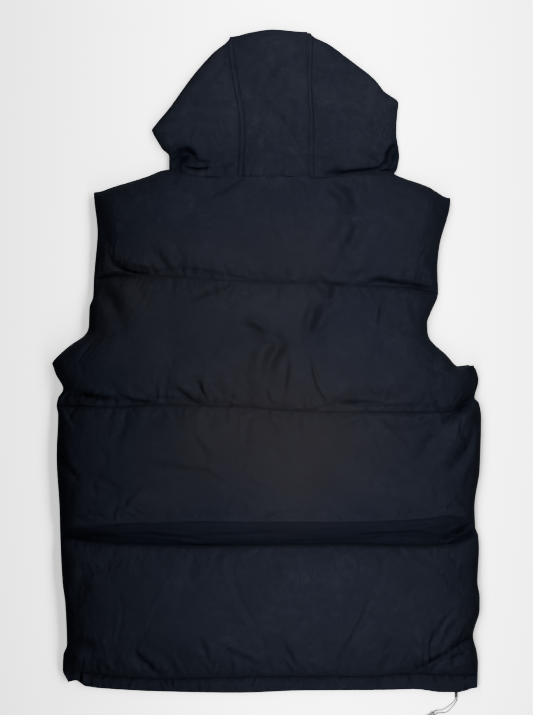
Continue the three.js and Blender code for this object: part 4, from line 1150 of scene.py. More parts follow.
# %% Back folds
YOKE_FOLDS = [
    ([(-0.034, 0.251), (-0.055, 0.236), (-0.079, 0.224)], 0.0045, -0.0022, 0.5),
    ([(-0.214, 0.138), (-0.19, 0.126), (-0.15, 0.119)], 0.006, -0.0075, 0.6),
    ([(-0.15, 0.15), (-0.139, 0.128), (-0.132, 0.119)], 0.007, -0.003, 0.4),
    ([(0.029, 0.247), (0.03, 0.21), (0.036, 0.173)], 0.009, -0.0026, -0.5),
    ([(0.082, 0.244), (0.104, 0.226), (0.115, 0.201)], 0.0095, -0.0095, 0.6),
    ([(0.133, 0.196), (0.118, 0.165), (0.1, 0.138)], 0.01, -0.009, -0.6),
    ([(0.088, 0.199), (0.103, 0.179)], 0.006, -0.002, 0.4),
    ([(0.053, 0.246), (0.06, 0.222), (0.058, 0.205)], 0.005, -0.0022, -0.4),
    ([(0.006, 0.183), (0.012, 0.168), (0.017, 0.153)], 0.0055, -0.0014, 0.4),
    ([(0.207, 0.124), (0.216, 0.112), (0.225, 0.105)], 0.005, -0.0035, 0.5),
    ([(0.142, 0.104), (0.154, 0.112), (0.176, 0.108)], 0.005, -0.005, 0.6),
    ([(0.098, 0.12), (0.12, 0.117), (0.148, 0.118)], 0.008, -0.002, 0.3),
    ([(-0.1, 0.215), (-0.13, 0.18)], 0.018, -0.002, 0.3),
    ([(0.17, 0.235), (0.185, 0.18), (0.18, 0.14)], 0.022, -0.0022, 0.3),
    ([(-0.226, 0.2), (-0.222, 0.16)], 0.008, -0.002, 0.4),
]
SECOND_BAFFLE_FOLDS = [
    ([(-0.226, 0.098), (-0.213, 0.082), (-0.2, 0.06)], 0.012, -0.0062, 0.5),
    ([(-0.223, 0.039), (-0.205, 0.041), (-0.183, 0.047)], 0.0045, -0.0014, 0.5),
    ([(-0.105, 0.086), (-0.078, 0.096), (-0.05, 0.106)], 0.005, -0.003, -0.5),
    ([(-0.097, 0.087), (-0.04, 0.086), (0.015, 0.084)], 0.003, 0.0009, 0.3),
    ([(-0.061, 0.033), (-0.07, 0.016), (-0.076, 0.001)], 0.0035, -0.0011, 0.5),
    ([(-0.034, 0.048), (-0.016, 0.041), (0.006, 0.03)], 0.007, -0.007, 0.8),
    ([(0.008, 0.042), (0.018, 0.022), (0.006, 0.004), (0.001, -0.017)], 0.0088, -0.01, -0.7),
    ([(0.028, 0.000), (0.026, -0.018), (0.022, -0.04)], 0.0042, -0.0042, 0.5),
    ([(-0.123, -0.041), (-0.108, -0.049), (-0.091, -0.058)], 0.005, -0.0034, 0.6),
    ([(-0.094, -0.028), (-0.088, -0.039), (-0.082, -0.049)], 0.0035, -0.0018, 0.4),
    ([(-0.056, -0.046), (-0.031, -0.056)], 0.0035, -0.0016, 0.4),
    ([(-0.257, -0.042), (-0.24, -0.046), (-0.222, -0.054)], 0.006, -0.0045, 0.5),
    ([(0.07, 0.104), (0.082, 0.097), (0.084, 0.084)], 0.0076, -0.008, 0.7),
    ([(0.067, 0.081), (0.061, 0.062), (0.054, 0.04)], 0.0088, -0.01, 0.7),
    ([(0.08, 0.046), (0.07, 0.03), (0.057, 0.018)], 0.0056, -0.004, 0.4),
    ([(0.157, 0.079), (0.155, 0.065), (0.152, 0.051)], 0.0032, -0.0036, -0.5),
    ([(0.154, 0.033), (0.152, 0.019), (0.148, 0.005)], 0.003, 0.002, 0.5),
    ([(0.165, 0.06), (0.188, 0.046), (0.21, 0.034)], 0.007, -0.002, 0.4),
    ([(0.062, 0.007), (0.065, -0.012), (0.07, -0.031), (0.085, -0.056)], 0.0032, 0.0032, -0.7),
    ([(0.052, 0.003), (0.054, -0.025)], 0.003, -0.0011, 0.4),
    ([(0.1, -0.058), (0.133, -0.047), (0.184, -0.054)], 0.0085, -0.0048, 0.4),
    ([(-0.15, 0.06), (-0.13, 0.02), (-0.15, -0.02)], 0.024, -0.0024, 0.3),
    ([(0.225, 0.03), (0.232, 0.000), (0.222, -0.03)], 0.007, -0.0022, 0.4),
    ([(0.196, 0.08), (0.204, 0.06)], 0.005, -0.0014, 0.4),
    ([(0.205, -0.02), (0.195, -0.045)], 0.009, -0.0022, 0.3),
]
THIRD_BAFFLE_FOLDS = [
    ([(0.15, -0.078), (0.184, -0.087), (0.21, -0.082), (0.238, -0.076)], 0.0055, -0.0042, 0.5),
    ([(0.214, -0.084), (0.23, -0.079), (0.246, -0.076)], 0.003, 0.0016, 0.4),
    ([(0.246, -0.082), (0.262, -0.07), (0.286, -0.052)], 0.0055, -0.0065, -0.6),
    ([(-0.165, -0.136), (-0.127, -0.145), (-0.082, -0.15), (-0.056, -0.169)], 0.0042, -0.0024, 0.6),
    ([(-0.03, -0.16), (-0.011, -0.168), (0.012, -0.179)], 0.0032, -0.0012, 0.5),
    ([(-0.102, -0.098), (-0.094, -0.112), (-0.08, -0.128)], 0.005, -0.002, 0.5),
    ([(-0.286, -0.105), (-0.283, -0.12), (-0.278, -0.132)], 0.0055, -0.0035, 0.5),
    ([(-0.282, -0.137), (-0.272, -0.146), (-0.26, -0.156)], 0.005, -0.0026, 0.5),
    ([(0.244, -0.083), (0.228, -0.106), (0.205, -0.137)], 0.012, -0.007, 0.5),
    ([(0.283, -0.089), (0.274, -0.119), (0.25, -0.147)], 0.0085, -0.0048, 0.5),
    ([(0.169, -0.096), (0.18, -0.108), (0.191, -0.119)], 0.005, 0.002, 0.5),
    ([(0.15, -0.09), (0.152, -0.112), (0.166, -0.132)], 0.006, -0.0022, 0.4),
    ([(0.261, -0.23), (0.272, -0.222), (0.284, -0.217)], 0.005, -0.004, 0.5),
    ([(0.255, -0.19), (0.27, -0.202), (0.284, -0.204)], 0.0045, 0.0014, 0.5),
    ([(0.04, -0.078), (0.046, -0.1)], 0.005, -0.0014, 0.4),
    ([(-0.02, -0.074), (-0.03, -0.094), (-0.028, -0.115)], 0.005, -0.0016, 0.4),
    ([(-0.19, -0.08), (-0.205, -0.11)], 0.006, -0.0018, 0.4),
    ([(-0.24, -0.16), (-0.2, -0.185)], 0.02, -0.0022, 0.3),
    ([(0.1, -0.15), (0.06, -0.19)], 0.022, -0.0018, 0.3),
]
STRIP_FOLDS = [
    ([(-0.262, -0.24), (-0.235, -0.236), (-0.205, -0.238)], 0.0026, -0.003, 0.4),
    ([(-0.2, -0.236), (-0.16, -0.235), (-0.12, -0.239), (-0.09, -0.243)], 0.0026, -0.0032, 0.4),
    ([(-0.06, -0.236), (-0.01, -0.234), (0.05, -0.237)], 0.0022, -0.0016, 0.3),
    ([(0.12, -0.237), (0.16, -0.235), (0.2, -0.233), (0.225, -0.236)], 0.0026, -0.003, 0.4),
    ([(0.245, -0.241), (0.262, -0.232), (0.283, -0.222)], 0.0032, -0.007, -0.5),
    ([(0.25, -0.228), (0.262, -0.226), (0.272, -0.229)], 0.0026, 0.003, 0.3),
]
LOW_BAFFLE_FOLDS = [
    ([(-0.115, -0.262), (-0.148, -0.321), (-0.182, -0.395)], 0.002, 0.0009, 0.5),
    ([(-0.052, -0.275), (-0.034, -0.331), (-0.017, -0.357), (-0.002, -0.39)], 0.0042, -0.002, -0.6),
    ([(-0.016, -0.27), (-0.01, -0.29), (-0.003, -0.312)], 0.0032, -0.001, 0.5),
    ([(0.02, -0.382), (0.03, -0.4), (0.042, -0.418)], 0.005, -0.0036, 0.6),
    ([(-0.089, -0.378), (-0.083, -0.395), (-0.079, -0.412)], 0.0038, -0.002, 0.5),
    ([(-0.184, -0.398), (-0.16, -0.414), (-0.142, -0.43)], 0.006, -0.0042, 0.5),
    ([(-0.068, -0.386), (-0.04, -0.4), (-0.014, -0.413)], 0.005, -0.003, 0.5),
    ([(0.144, -0.318), (0.13, -0.35), (0.112, -0.384), (0.1, -0.402)], 0.0045, -0.0026, -0.7),
    ([(0.262, -0.35), (0.24, -0.368), (0.219, -0.382)], 0.0075, -0.0022, 0.5),
    ([(0.285, -0.378), (0.272, -0.386), (0.26, -0.392)], 0.005, -0.004, 0.5),
    ([(0.268, -0.396), (0.246, -0.399), (0.222, -0.421)], 0.006, -0.003, 0.6),
    ([(0.272, -0.404), (0.256, -0.408), (0.24, -0.415)], 0.0045, -0.0034, 0.4),
    ([(0.207, -0.41), (0.213, -0.418), (0.219, -0.426)], 0.005, -0.004, 0.4),
    ([(-0.276, -0.388), (-0.255, -0.384), (-0.232, -0.388)], 0.008, -0.004, 0.4),
    ([(-0.27, -0.3), (-0.25, -0.33)], 0.015, -0.003, 0.3),
    ([(0.06, -0.29), (0.04, -0.35)], 0.024, -0.002, 0.3),
    ([(-0.23, -0.27), (-0.2, -0.3)], 0.02, -0.002, 0.3),
    ([(0.2, -0.28), (0.22, -0.32)], 0.022, -0.0022, 0.3),
    ([(0.17, -0.405), (0.15, -0.425)], 0.007, -0.0022, 0.4),
]
BACK_TUCKS = [
    ([(-0.211, 0.1365), (-0.195, 0.129), (-0.178, 0.1225), (-0.16, 0.1185)], 0.0026, 0.006, 0.0026),
    ([(-0.27, -0.041), (-0.25, -0.041), (-0.235, -0.0455), (-0.215, -0.05)], 0.003, 0.006, 0.0026),
    ([(-0.2, -0.047), (-0.18, -0.052), (-0.155, -0.056)], 0.0024, 0.004, 0.0018),
    ([(-0.118, -0.039), (-0.108, -0.048), (-0.096, -0.056)], 0.0028, 0.0034, 0.0012),
    ([(-0.094, -0.028), (-0.088, -0.04), (-0.079, -0.056)], 0.0022, 0.0022, 0.0008),
    ([(0.105, -0.056), (0.13, -0.054), (0.16, -0.057)], 0.003, 0.004, 0.0018),
    ([(0.135, 0.112), (0.155, 0.113), (0.185, 0.108), (0.225, 0.102)], 0.0026, 0.0045, 0.002),
    ([(0.286, -0.054), (0.266, -0.064), (0.248, -0.078)], 0.003, 0.006, -0.0022),
    ([(0.286, -0.372), (0.268, -0.381), (0.25, -0.392)], 0.0026, 0.006, 0.0014),
    ([(0.284, -0.39), (0.262, -0.4), (0.236, -0.408)], 0.0024, 0.005, 0.0014),
    ([(0.25, -0.394), (0.228, -0.406), (0.204, -0.421)], 0.0034, 0.008, 0.002),
    ([(0.212, -0.405), (0.217, -0.415), (0.224, -0.425)], 0.0024, 0.005, 0.001),
    ([(0.022, -0.406), (0.03, -0.415), (0.036, -0.427)], 0.0024, 0.004, 0.001),
    ([(-0.176, -0.398), (-0.16, -0.412), (-0.148, -0.427)], 0.0026, 0.0034, 0.001),
]
# Beside each seam, as rows of (seam, above it, spacing, length, width, depth)
PUCKERED_SEAMS = [
    (hem_seam, True, 0.016, 0.04, 0.003, 0.002),
    (low_seam, False, 0.05, 0.022, 0.003, 0.0006),
    (low_seam, True, 0.02, 0.022, 0.003, 0.0014),
    (mid_seam, False, 0.016, 0.045, 0.0036, 0.002),
    (mid_seam, True, 0.017, 0.04, 0.0036, 0.0021),
    (high_seam, False, 0.018, 0.036, 0.0034, 0.0016),
    (high_seam, True, 0.018, 0.034, 0.0034, 0.0018),
    (top_edge, False, 0.02, 0.04, 0.0036, 0.0013, (-0.12, 0.15)),
]
BACK_PUCKERS = []
for seed, row in enumerate(PUCKERED_SEAMS, 1):
    BACK_PUCKERS += puckers(seed, *row)
print(len(BACK_PUCKERS), "puckers beside the back's seams")

# %% [markdown]
# ## Back panel's cloth
# The form is settled first, then the folds are pressed into it. Both fade out towards the seams,
# where the cloth is held down, and towards the sides.

# %% Back panel
coarse = (slice(None, None, 2), slice(None, None, 2))
folds = YOKE_FOLDS + SECOND_BAFFLE_FOLDS + THIRD_BAFFLE_FOLDS + LOW_BAFFLE_FOLDS
folds += faint_creases(11, 150, (-0.26, -0.41), (0.26, 0.23), 0.0032, 0.0010)
folds += faint_creases(12, 14, (0.19, -0.42), (0.27, -0.375), 0.0022, 0.0024)
from_low_seam = y - low_seam(x)
strip = (from_low_seam > 0) * smooth((strip_ridge(x) + 0.004 - from_low_seam) / 0.004)
creased = mix(fold_height(x, y, folds) * smooth(back_puff / 0.55), fold_height(x, y, STRIP_FOLDS), strip)
puckered = fold_height(x, y, BACK_PUCKERS) * smooth(from_seam / 0.003)
back_form[..., 2] += (1.2 * creased + 0.8 * puckered) * smooth(from_side / 0.012)
held = smooth(from_seam / SEAM_HOLD)
back_form += tucked(x, y, BACK_TUCKS) * (smooth(from_side / 0.010) * held)[..., None]
pinned = np.clip(np.maximum(1.15 - np.minimum(from_seam, from_side) / 0.007, strip), 0, 1)
moved = settled("back cloth", back_form[coarse], pinned[coarse], slack=0.018, pressure=2.0, limit=0.0032)
moved = doubled(moved)
above_strip = np.where(from_low_seam > -0.001, smooth((from_low_seam - strip_ridge(x)) / 0.020), 1)
moved *= (held * smooth(from_side / 0.035) * above_strip)[..., None]
back_outer = back_form + moved
back_outer[..., 2] = np.maximum(back_outer[..., 2], back_low + LEAST_CLOTH)
back_inner = np.stack([x, y, back_low], -1)
back = padded_wall("back_quilted_panel", back_outer, back_inner, shell)
# Painted shade for the sunk strip, darkest at its foot, and for the tucks.
in_strip = between(from_low_seam, -0.0030, strip_ridge(x) + 0.0008, 0.0020, 0.0020)
up_strip = smooth((from_low_seam - strip_lip(x)) / (strip_ridge(x) - strip_lip(x)))
deep = np.maximum(in_strip * mix(1, 0.6, up_strip), 0.8 * in_tucks(x, y, BACK_TUCKS))
mark_painted_shade(back, deep * smooth(from_side / 0.008))
print("back panel:", len(back.data.polygons), "faces")

# %% [markdown]
# ## Front panels
# The fronts lie under the back, so the floor presses them flat between their seams. Their armholes
# are cut further in than the back's. They crease where they are gathered, but a crease there can
# only lift off the floor.

# %% Front panels
FRONT_COLUMNS, FRONT_ROWS = 60, 32
ARMHOLE_SCOOP, UNDERARM_STEP = 0.014, 0.003


def left_front_edge(y):
    return left_edge(y) + ARMHOLE_SCOOP * bow(y, 0, 0.215)


def right_front_edge(y):
    return right_edge(y) - ARMHOLE_SCOOP * bow(y, 0, 0.215) + UNDERARM_STEP * bow(y, -0.052, -0.002)


def zip_side(side):
    """The front panel's edge beside the zip, the same at every height."""
    return lambda y: ZIP_X + side * ZIP_HALF_OPENING + 0 * y


def front_panel(name, left, right, first_seed):
    fields = []
    for baffle in range(4):
        upper = (lambda x: front_top(x) - NECK_EASE) if baffle == 3 else BAFFLES[baffle][1]
        steps = clustered(FRONT_ROWS, 0.75)
        x, y, above, below, aside = baffle_places(baffle, left, right, upper, FRONT_COLUMNS, steps)
        puff = rise(above / ROUND_FRONT) * rise(below / ROUND_FRONT) * rise(aside / ROUND_FRONT)
        fields.append(np.stack([x, y, puff, np.minimum(above, below)], -1))
    x, y, puff, from_seam = np.moveaxis(stacked(fields), -1, 0)
    sizes = (0.019, 0.045, 0.0038, 0.0028, (x.min() + 0.02, x.max() - 0.02))
    folds = []
    for k, seam in enumerate((hem_seam, low_seam, mid_seam, high_seam)):
        folds += puckers(first_seed + 2 * k, seam, True, *sizes)
        if k:
            folds += puckers(first_seed + 2 * k + 1, seam, False, *sizes)
    top = layer_height(x, y, 1) - half_gap(x, y)
    pressed = (top - SEAM_THICKNESS) * (1 - np.minimum(1, FRONT_FLATTENING * puff))
    creased = fold_height(x, y, folds) * smooth(from_seam / SEAM_HOLD)
    floor_side = np.clip(pressed - creased, 0, top - LEAST_CLOTH)
    outer = np.stack([x, y, floor_side], -1)
    return padded_wall(name, outer, np.stack([x, y, top], -1), shell)


front_left = front_panel("front_left_quilted", left_front_edge, zip_side(-1), 20)
front_right = front_panel("front_right_quilted", zip_side(1), right_front_edge, 40)
print("front panels:", len(front_left.data.polygons), "and", len(front_right.data.polygons), "faces")

# %% [markdown]
# ## Hem bands
# The hem is a narrow channel that holds the drawcord. The cord gathers it a little, so it ripples
# along both edges.

# %% Hem bands
HEM_THICKNESS = 0.0055
HEM_ROWS = 16


def hem_band(name, left, right, layer, columns, seed):
    t = np.linspace(0, 1, HEM_ROWS + 1)[:, None]
    x = mix(left(t), right(t), clustered(columns, 0.5)[None, :])
    y = mix(hem_edge(x), hem_seam(x) + SEAM_LAP, t)
    rounded = rise(t / 0.42) * mix(0.35, 1, rise((1 - t) / 0.40))
    ends = (x.min() + 0.01, x.max() - 0.01)
    gathers = puckers(seed, hem_seam, False, 0.013, 0.019, 0.0026, 0.0030, ends)
    gathers += puckers(seed + 1, hem_edge, True, 0.015, 0.014, 0.0028, 0.0018, ends)
    full = HEM_THICKNESS * mix(0.42, 1, rounded) + fold_height(x, y, gathers) * smooth(rounded)
    seam_height = HEM_LAYER + layer * SEAM_GAP / 2 + 0 * x
    face = np.maximum(0, seam_height + layer * np.maximum(full, 0.0008))
    return padded_wall(name, np.stack([x, y, face], -1), np.stack([x, y, seam_height], -1), shell)


def hem_left(t):
    return left_edge(mix(hem_edge.start[1], hem_seam.start[1], t))


def hem_right(t):
    return right_edge(mix(hem_edge.end[1], hem_seam.end[1], t))


hem_back = hem_band("hem_band_back", hem_left, hem_right, 1, 360, 60)
hem_front_left = hem_band("hem_band_front_left", hem_left, zip_side(-1), -1, 160, 63)
hem_front_right = hem_band("hem_band_front_right", zip_side(1), hem_right, -1, 160, 66)
print("hem bands:", sum(len(p.data.polygons) for p in (hem_back, hem_front_left, hem_front_right)), "faces")

# %% [markdown]
# ## Hood
# The hood lies flat as a pocket of two layers. Each side panel starts at the long seam on top, runs
# out to the fold and comes back underneath to the zip and the face's edge. The centre panel runs
# from the neck over the crown. On each side panel a strip along the seam is sewn down with two rows
# of stitches.

# %% Hood's lines
hood_left_outline = curve(
    (0.2615, -0.134), (0.28, -0.134), (0.295, -0.145), (0.313, -0.1563), (0.317, -0.158),
    (0.321, -0.1555), (0.346, -0.135), (0.395, -0.099), (0.423, -0.074), (0.445, -0.051),
)
hood_right_outline = curve(
    (0.26, 0.159), (0.268, 0.174), (0.286, 0.182), (0.313, 0.178), (0.336, 0.179), (0.354, 0.181),
    (0.371, 0.161), (0.386, 0.149), (0.414, 0.114), (0.434, 0.087), (0.45, 0.061),
)
hood_crown = curve((-0.046, 0.446), (-0.024, 0.451), (0.007, 0.4555), (0.056, 0.452))
hood_seam_left = curve(
    (0.253, -0.032), (0.318, -0.0297), (0.345, -0.0322), (0.375, -0.0379), (0.445, -0.0463),
)
hood_seam_right = curve((0.253, 0.0567), (0.318, 0.057), (0.385, 0.0543), (0.450, 0.0559))
HOOD_LOFT, HOOD_FOLD_ROUND, HOOD_SEAM_ROUND, HOOD_FOLD_WALL = 0.008, 0.024, 0.026, 0.004
HALF_HOLLOW, LEAST_HOOD, CROWN_WALL = 0.0005, 0.0005, 0.004
FOREHEAD_Y, CHIN, FOREHEAD = 0.396, 0.3, 0.75
STRIP_WIDTH, STRIP_RAISE, STITCH_GROOVE = 0.0085, 0.0013, 0.0018
STITCH_ROWS = (0.0017, STRIP_WIDTH - 0.0014)  # how far each row of stitches lies from the long seam
NECK_RISE = 0.0112
SEAM_PUFF = 0.5  # how far the hood has swelled beside its long seams, as a share


def neck_rise(x, from_neck):
    """How far the hood's lower edge is lifted to the level of the yoke that it is sewn to."""
    return NECK_RISE * along_neck(x) * (1 - smooth(from_neck / 0.036))


def upper_face(from_fold, from_seams):
    return rise(from_fold / HOOD_FOLD_ROUND) * (SEAM_THICKNESS + HOOD_LOFT * from_seams)


def lower_face(from_fold, from_seams):
    full = np.minimum(1, FRONT_FLATTENING * from_seams)
    return rise(from_fold / HOOD_FOLD_ROUND) * mix(SEAM_THICKNESS, EDGE_LAYER, full)


# %% [markdown]
# ## Hood's side panels
# The strip beside the seam is two turned edges thick, so it stands a little proud, with a groove
# under each row of stitches. The hood's lower edge hangs over the yoke in places, and its deepest
# tucks are at the two ends of the neck, as (points, width, depth, reach).

# %% Hood side panels
HOOD_FOLDS = [
    ([(-0.068, 0.266), (-0.055, 0.27), (-0.042, 0.274)], 0.003, -0.002, 0.5),
    ([(-0.098, 0.348), (-0.082, 0.349)], 0.002, -0.001, 0.5),
    ([(-0.07, 0.265), (-0.041, 0.274)], 0.0045, -0.002, 0.4),
    ([(-0.1, 0.344), (-0.07, 0.343), (-0.044, 0.345)], 0.0022, -0.0006, 0.4),
    ([(-0.12, 0.33), (-0.095, 0.365)], 0.012, -0.0012, 0.4),
    ([(-0.085, 0.3), (-0.06, 0.29)], 0.008, -0.0013, 0.4),
    ([(0.068, 0.354), (0.09, 0.352), (0.116, 0.353)], 0.0022, -0.0008, 0.4),
    ([(0.14, 0.285), (0.158, 0.275)], 0.005, -0.003, 0.5),
    ([(0.172, 0.27), (0.175, 0.28), (0.177, 0.286)], 0.0065, -0.005, 0.1),
    ([(0.08, 0.285), (0.11, 0.275), (0.14, 0.268)], 0.007, -0.002, 0.4),
    ([(0.12, 0.39), (0.135, 0.36), (0.138, 0.325)], 0.013, -0.0014, 0.4),
    ([(0.1, 0.31), (0.15, 0.315)], 0.01, -0.001, 0.4),
]
pocket_fold = [(-0.129, 0.279), (-0.120, 0.288), (-0.110, 0.291), (-0.102, 0.286), (-0.099, 0.278)]
corner_fold = [(0.180, 0.2985), (0.171, 0.292), (0.166, 0.283), (0.1645, 0.274), (0.158, 0.268)]
neck_fold = [(0.080, 0.2578), (0.095, 0.2582), (0.115, 0.2602), (0.140, 0.2628), (0.160, 0.2660)]
HOOD_TUCKS = [
    (pocket_fold, 0.0048, 0.012, 0.0034),
    ([(-0.124, 0.27), (-0.115, 0.278), (-0.107, 0.284)], 0.005, 0.01, 0.001),
    ([(-0.113, 0.266), (-0.104, 0.2645), (-0.092, 0.2635), (-0.078, 0.2645)], 0.002, 0.006, 0.002),
    ([(-0.1, 0.278), (-0.09, 0.274), (-0.078, 0.273)], 0.0022, 0.002, 0.001),
    (corner_fold, 0.0028, 0.0105, -0.0024),
    (neck_fold, 0.0026, 0.007, 0.0016),
    ([(0.084, 0.26), (0.094, 0.261), (0.106, 0.2615)], 0.0036, 0.003, 0.0),
    ([(-0.131, 0.276), (-0.117, 0.279), (-0.103, 0.271)], 0.008, 0.0036, 0.0),
    ([(0.176, 0.292), (0.177, 0.282), (0.174, 0.271)], 0.0056, 0.003, 0.0),
]


def hood_rows():
    ends = [0, CHIN, FOREHEAD, 1]
    runs = [mix(a, b, clustered(count, 0.3)[1:]) for count, a, b in zip((46, 64, 36), ends, ends[1:])]
    return np.concatenate([[0], *runs])[:, None]


def face_edge(side, seam, v):
    """Where a side panel ends underneath: along the zip, along the face, then beside the centre panel."""
    zip_edge = ZIP_X + side * ZIP_HALF_OPENING
    forehead_x, crown_y, crown_x = seam(FOREHEAD_Y), seam.end[0], seam.end[1]
    face, crown = (v - CHIN) / (FOREHEAD - CHIN), (v - FOREHEAD) / (1 - FOREHEAD)
    low_y = mix(FRONT_NECK_Y, ZIP_TOP, v / CHIN)
    past_chin = np.where(v <= FOREHEAD, mix(ZIP_TOP, FOREHEAD_Y, face), mix(FOREHEAD_Y, crown_y, crown))
    y = np.where(v <= CHIN, low_y, past_chin)
    past_chin = np.where(v <= FOREHEAD, mix(zip_edge, forehead_x, face), mix(forehead_x, crown_x, crown))
    return np.where(v <= CHIN, zip_edge, past_chin), y


def hood_lines(outline, seam, v):
    """A side panel's fold and long seam, row by row, and how thick the panel is at the fold."""
    fold_y = mix(outline.start[0], outline.end[0], v)
    fold_x = outline(fold_y)
    seam_y = mix(top_edge(seam.start[1]), seam.end[0], v)
    seam_x = seam(seam_y)
    return fold_x, fold_y, seam_x, seam_y, np.minimum(HOOD_FOLD_WALL, 0.45 * np.abs(fold_x - seam_x))


def from_hood_fold(x, y, fold_x):
    """How far a place is from the fold, at the panel's side or at the hood's crown."""
    return np.minimum(np.abs(x - fold_x), np.maximum(0, hood_crown(x) - y) + CROWN_WALL)


def hood_top(side, outline, seam, seed):
    """The layer of a side panel that shows: its face's grid and its back's."""
    v = hood_rows()
    (neck_y, neck_x), start_x = outline.start, seam.start[1]
    fold_x, fold_y, end_x, end_y, fold_wall = hood_lines(outline, seam, v)
    width = np.abs(fold_x - end_x)
    strip = np.minimum(STRIP_WIDTH + 0.002, 0.6 * width)
    past_strip = mix(strip, width, clustered(70, 0.4)[None, 1:])
    from_seam = np.concatenate([np.linspace(0, 1, 18) * strip, past_strip], 1)
    w = 1 - from_seam / width
    x = mix(fold_x, end_x, w)
    straight = mix(neck_y, top_edge(start_x), (x - neck_x) / (start_x - neck_x))
    y = mix(fold_y, end_y, w) + (1 - smooth(v / CHIN)) * (top_edge(x) - straight)
    from_fold = from_hood_fold(x, y, fold_x)
    from_neck = y - top_edge(x)
    puff = mix(SEAM_PUFF, 1, rise((from_seam - STRIP_WIDTH * 0.8) / HOOD_SEAM_ROUND))
    puff *= mix(NECK_SWELL, 1, smooth(from_neck / HOOD_SEAM_ROUND))
    raised = STRIP_RAISE * between(from_seam, 0, STRIP_WIDTH + 0.0008, 0.0016, 0.0018)
    grooves = sum(np.exp(-(((from_seam - row) / 0.0007) ** 2)) for row in STITCH_ROWS)
    folds = HOOD_FOLDS + hood_puckers(seed, side, seam)
    folds += faint_creases(seed + 3, 70, (-0.15, 0.25), (0.17, 0.43), 0.0030, 0.0009)
    folded = fold_height(x, y, folds) * smooth(puff / 0.4) * smooth(from_fold / 0.012)
    stitched = (raised - STITCH_GROOVE * grooves) * smooth(from_neck / SEAM_HOLD) * smooth(from_fold / 0.006)
    hanging = neck_overhang(x) * smooth((x - neck_x) * -side / 0.010) * (1 - smooth(from_neck / 0.009))
    face = EDGE_LAYER + upper_face(from_fold, puff) + neck_rise(x, from_neck)
    face += folded + stitched + 0.0012 * hanging
    hollow = EDGE_LAYER + HALF_HOLLOW * np.minimum(1, 4 * w)
    upper = np.stack([x, y - NECK_OVERLAP * hanging, face], -1)
    upper += tucked(x, y, HOOD_TUCKS) * smooth(from_fold / SEAM_HOLD)[..., None]
    upper[..., 2] = np.maximum(upper[..., 2], hollow + LEAST_HOOD * np.minimum(1, 4 * w))
    return upper, np.stack([mix(fold_x - side * fold_wall, end_x, w), y, hollow], -1)


def hood_under(side, outline, seam, seed):
    """The layer of a side panel that lies on the floor: its face's grid and its back's."""
    v = hood_rows()
    neck_y, neck_x = outline.start
    fold_x, fold_y, _, _, fold_wall = hood_lines(outline, seam, v)
    face_x, face_y = face_edge(side, seam, v)
    w = clustered(76, 0.4)[None, 1:]
    x = mix(fold_x, face_x, w)
    zip_edge = ZIP_X + side * ZIP_HALF_OPENING
    straight = mix(neck_y, FRONT_NECK_Y, (x - neck_x) / (zip_edge - neck_x))
    y = mix(fold_y, face_y, w) + (1 - smooth(v / CHIN)) * (front_top(x) - straight) + SEAM_GAP / 2 * w
    from_fold = from_hood_fold(x, y, fold_x)
    from_seams = rise(np.abs(x - face_x) / HOOD_SEAM_ROUND) * rise((y - front_top(x)) / HOOD_SEAM_ROUND)
    creases = fold_height(x, y, loose_folds(seed, side)) * smooth(from_seams / 0.4)
    face = np.clip(EDGE_LAYER - lower_face(from_fold, from_seams) - creases, 0, None)
    hollow = EDGE_LAYER - HALF_HOLLOW * np.minimum(1, 4 * w)
    lower = np.stack([x, y, np.minimum(face, hollow - LEAST_HOOD * np.minimum(1, 4 * w))], -1)
    return lower, np.stack([mix(fold_x - side * fold_wall, face_x, w), y, hollow + 0 * y], -1)


def hood_side(name, side, outline, seam, seed):
    """A side panel, folded along the hood's outline: the layer that shows and the one below it."""
    upper, upper_back = hood_top(side, outline, seam, seed)
    lower, lower_back = hood_under(side, outline, seam, seed + 5)
    outer = np.concatenate([upper, lower], 1)
    side_panel = padded_wall(name, outer, np.concatenate([upper_back, lower_back], 1), shell)
    # Painted shade in the hood's tucks.
    deep = 1.5 * in_tucks(upper[..., 0], upper[..., 1], HOOD_TUCKS)
    mark_painted_shade(side_panel, np.concatenate([deep, np.zeros(lower.shape[:2])], 1))
    return side_panel


def hood_puckers(seed, side, seam):
    """Puckers that run out from the strip beside the hood's seam, and up from the neck."""
    random = np.random.default_rng(seed)
    folds = []
    y = 0.262
    while y < 0.44:
        strength = random.uniform(0.3, 1.0)
        reach = 0.030 * strength * random.uniform(0.5, 1.0)
        x = float(seam(y)) + side * STRIP_WIDTH
        drift = reach * random.normal(0, 0.35)
        end = (x + side * reach, y + drift)
        folds.append(([(x, y), end], 0.0034 * random.uniform(0.7, 1.4), -0.0009 * strength, 0.7))
        y += 0.016 * random.uniform(0.5, 1.6)
    ends = (-0.125, -0.045) if side < 0 else (0.070, 0.150)
    return folds + puckers(seed + 1, top_edge, True, 0.013, 0.030, 0.0036, 0.0022, ends)


def loose_folds(seed, side):
    """A few soft creases on the hood's underside."""
    random = np.random.default_rng(seed)
    folds = []
    for _ in range(16):
        x, y = random.uniform(0.03, 0.14) * side + 0.01, random.uniform(0.22, 0.40)
        angle, reach = random.uniform(0, math.pi), random.uniform(0.02, 0.05)
        end = (x + reach * math.cos(angle), y + reach * math.sin(angle))
        size, deep = 0.005 * random.uniform(0.7, 1.5), -0.0024 * random.uniform(0.4, 1)
        folds.append(([(x, y), end], size, deep, 0.6))
    return folds


hood_left = hood_side("hood_left_side", -1, hood_left_outline, hood_seam_left, 70)
hood_right = hood_side("hood_right_side", 1, hood_right_outline, hood_seam_right, 80)
print("hood sides:", len(hood_left.data.polygons) + len(hood_right.data.polygons), "faces")

# %% [markdown]
# ## Hood's centre panel
# The centre panel is a long strip between the two seams. It creases softly along its length.

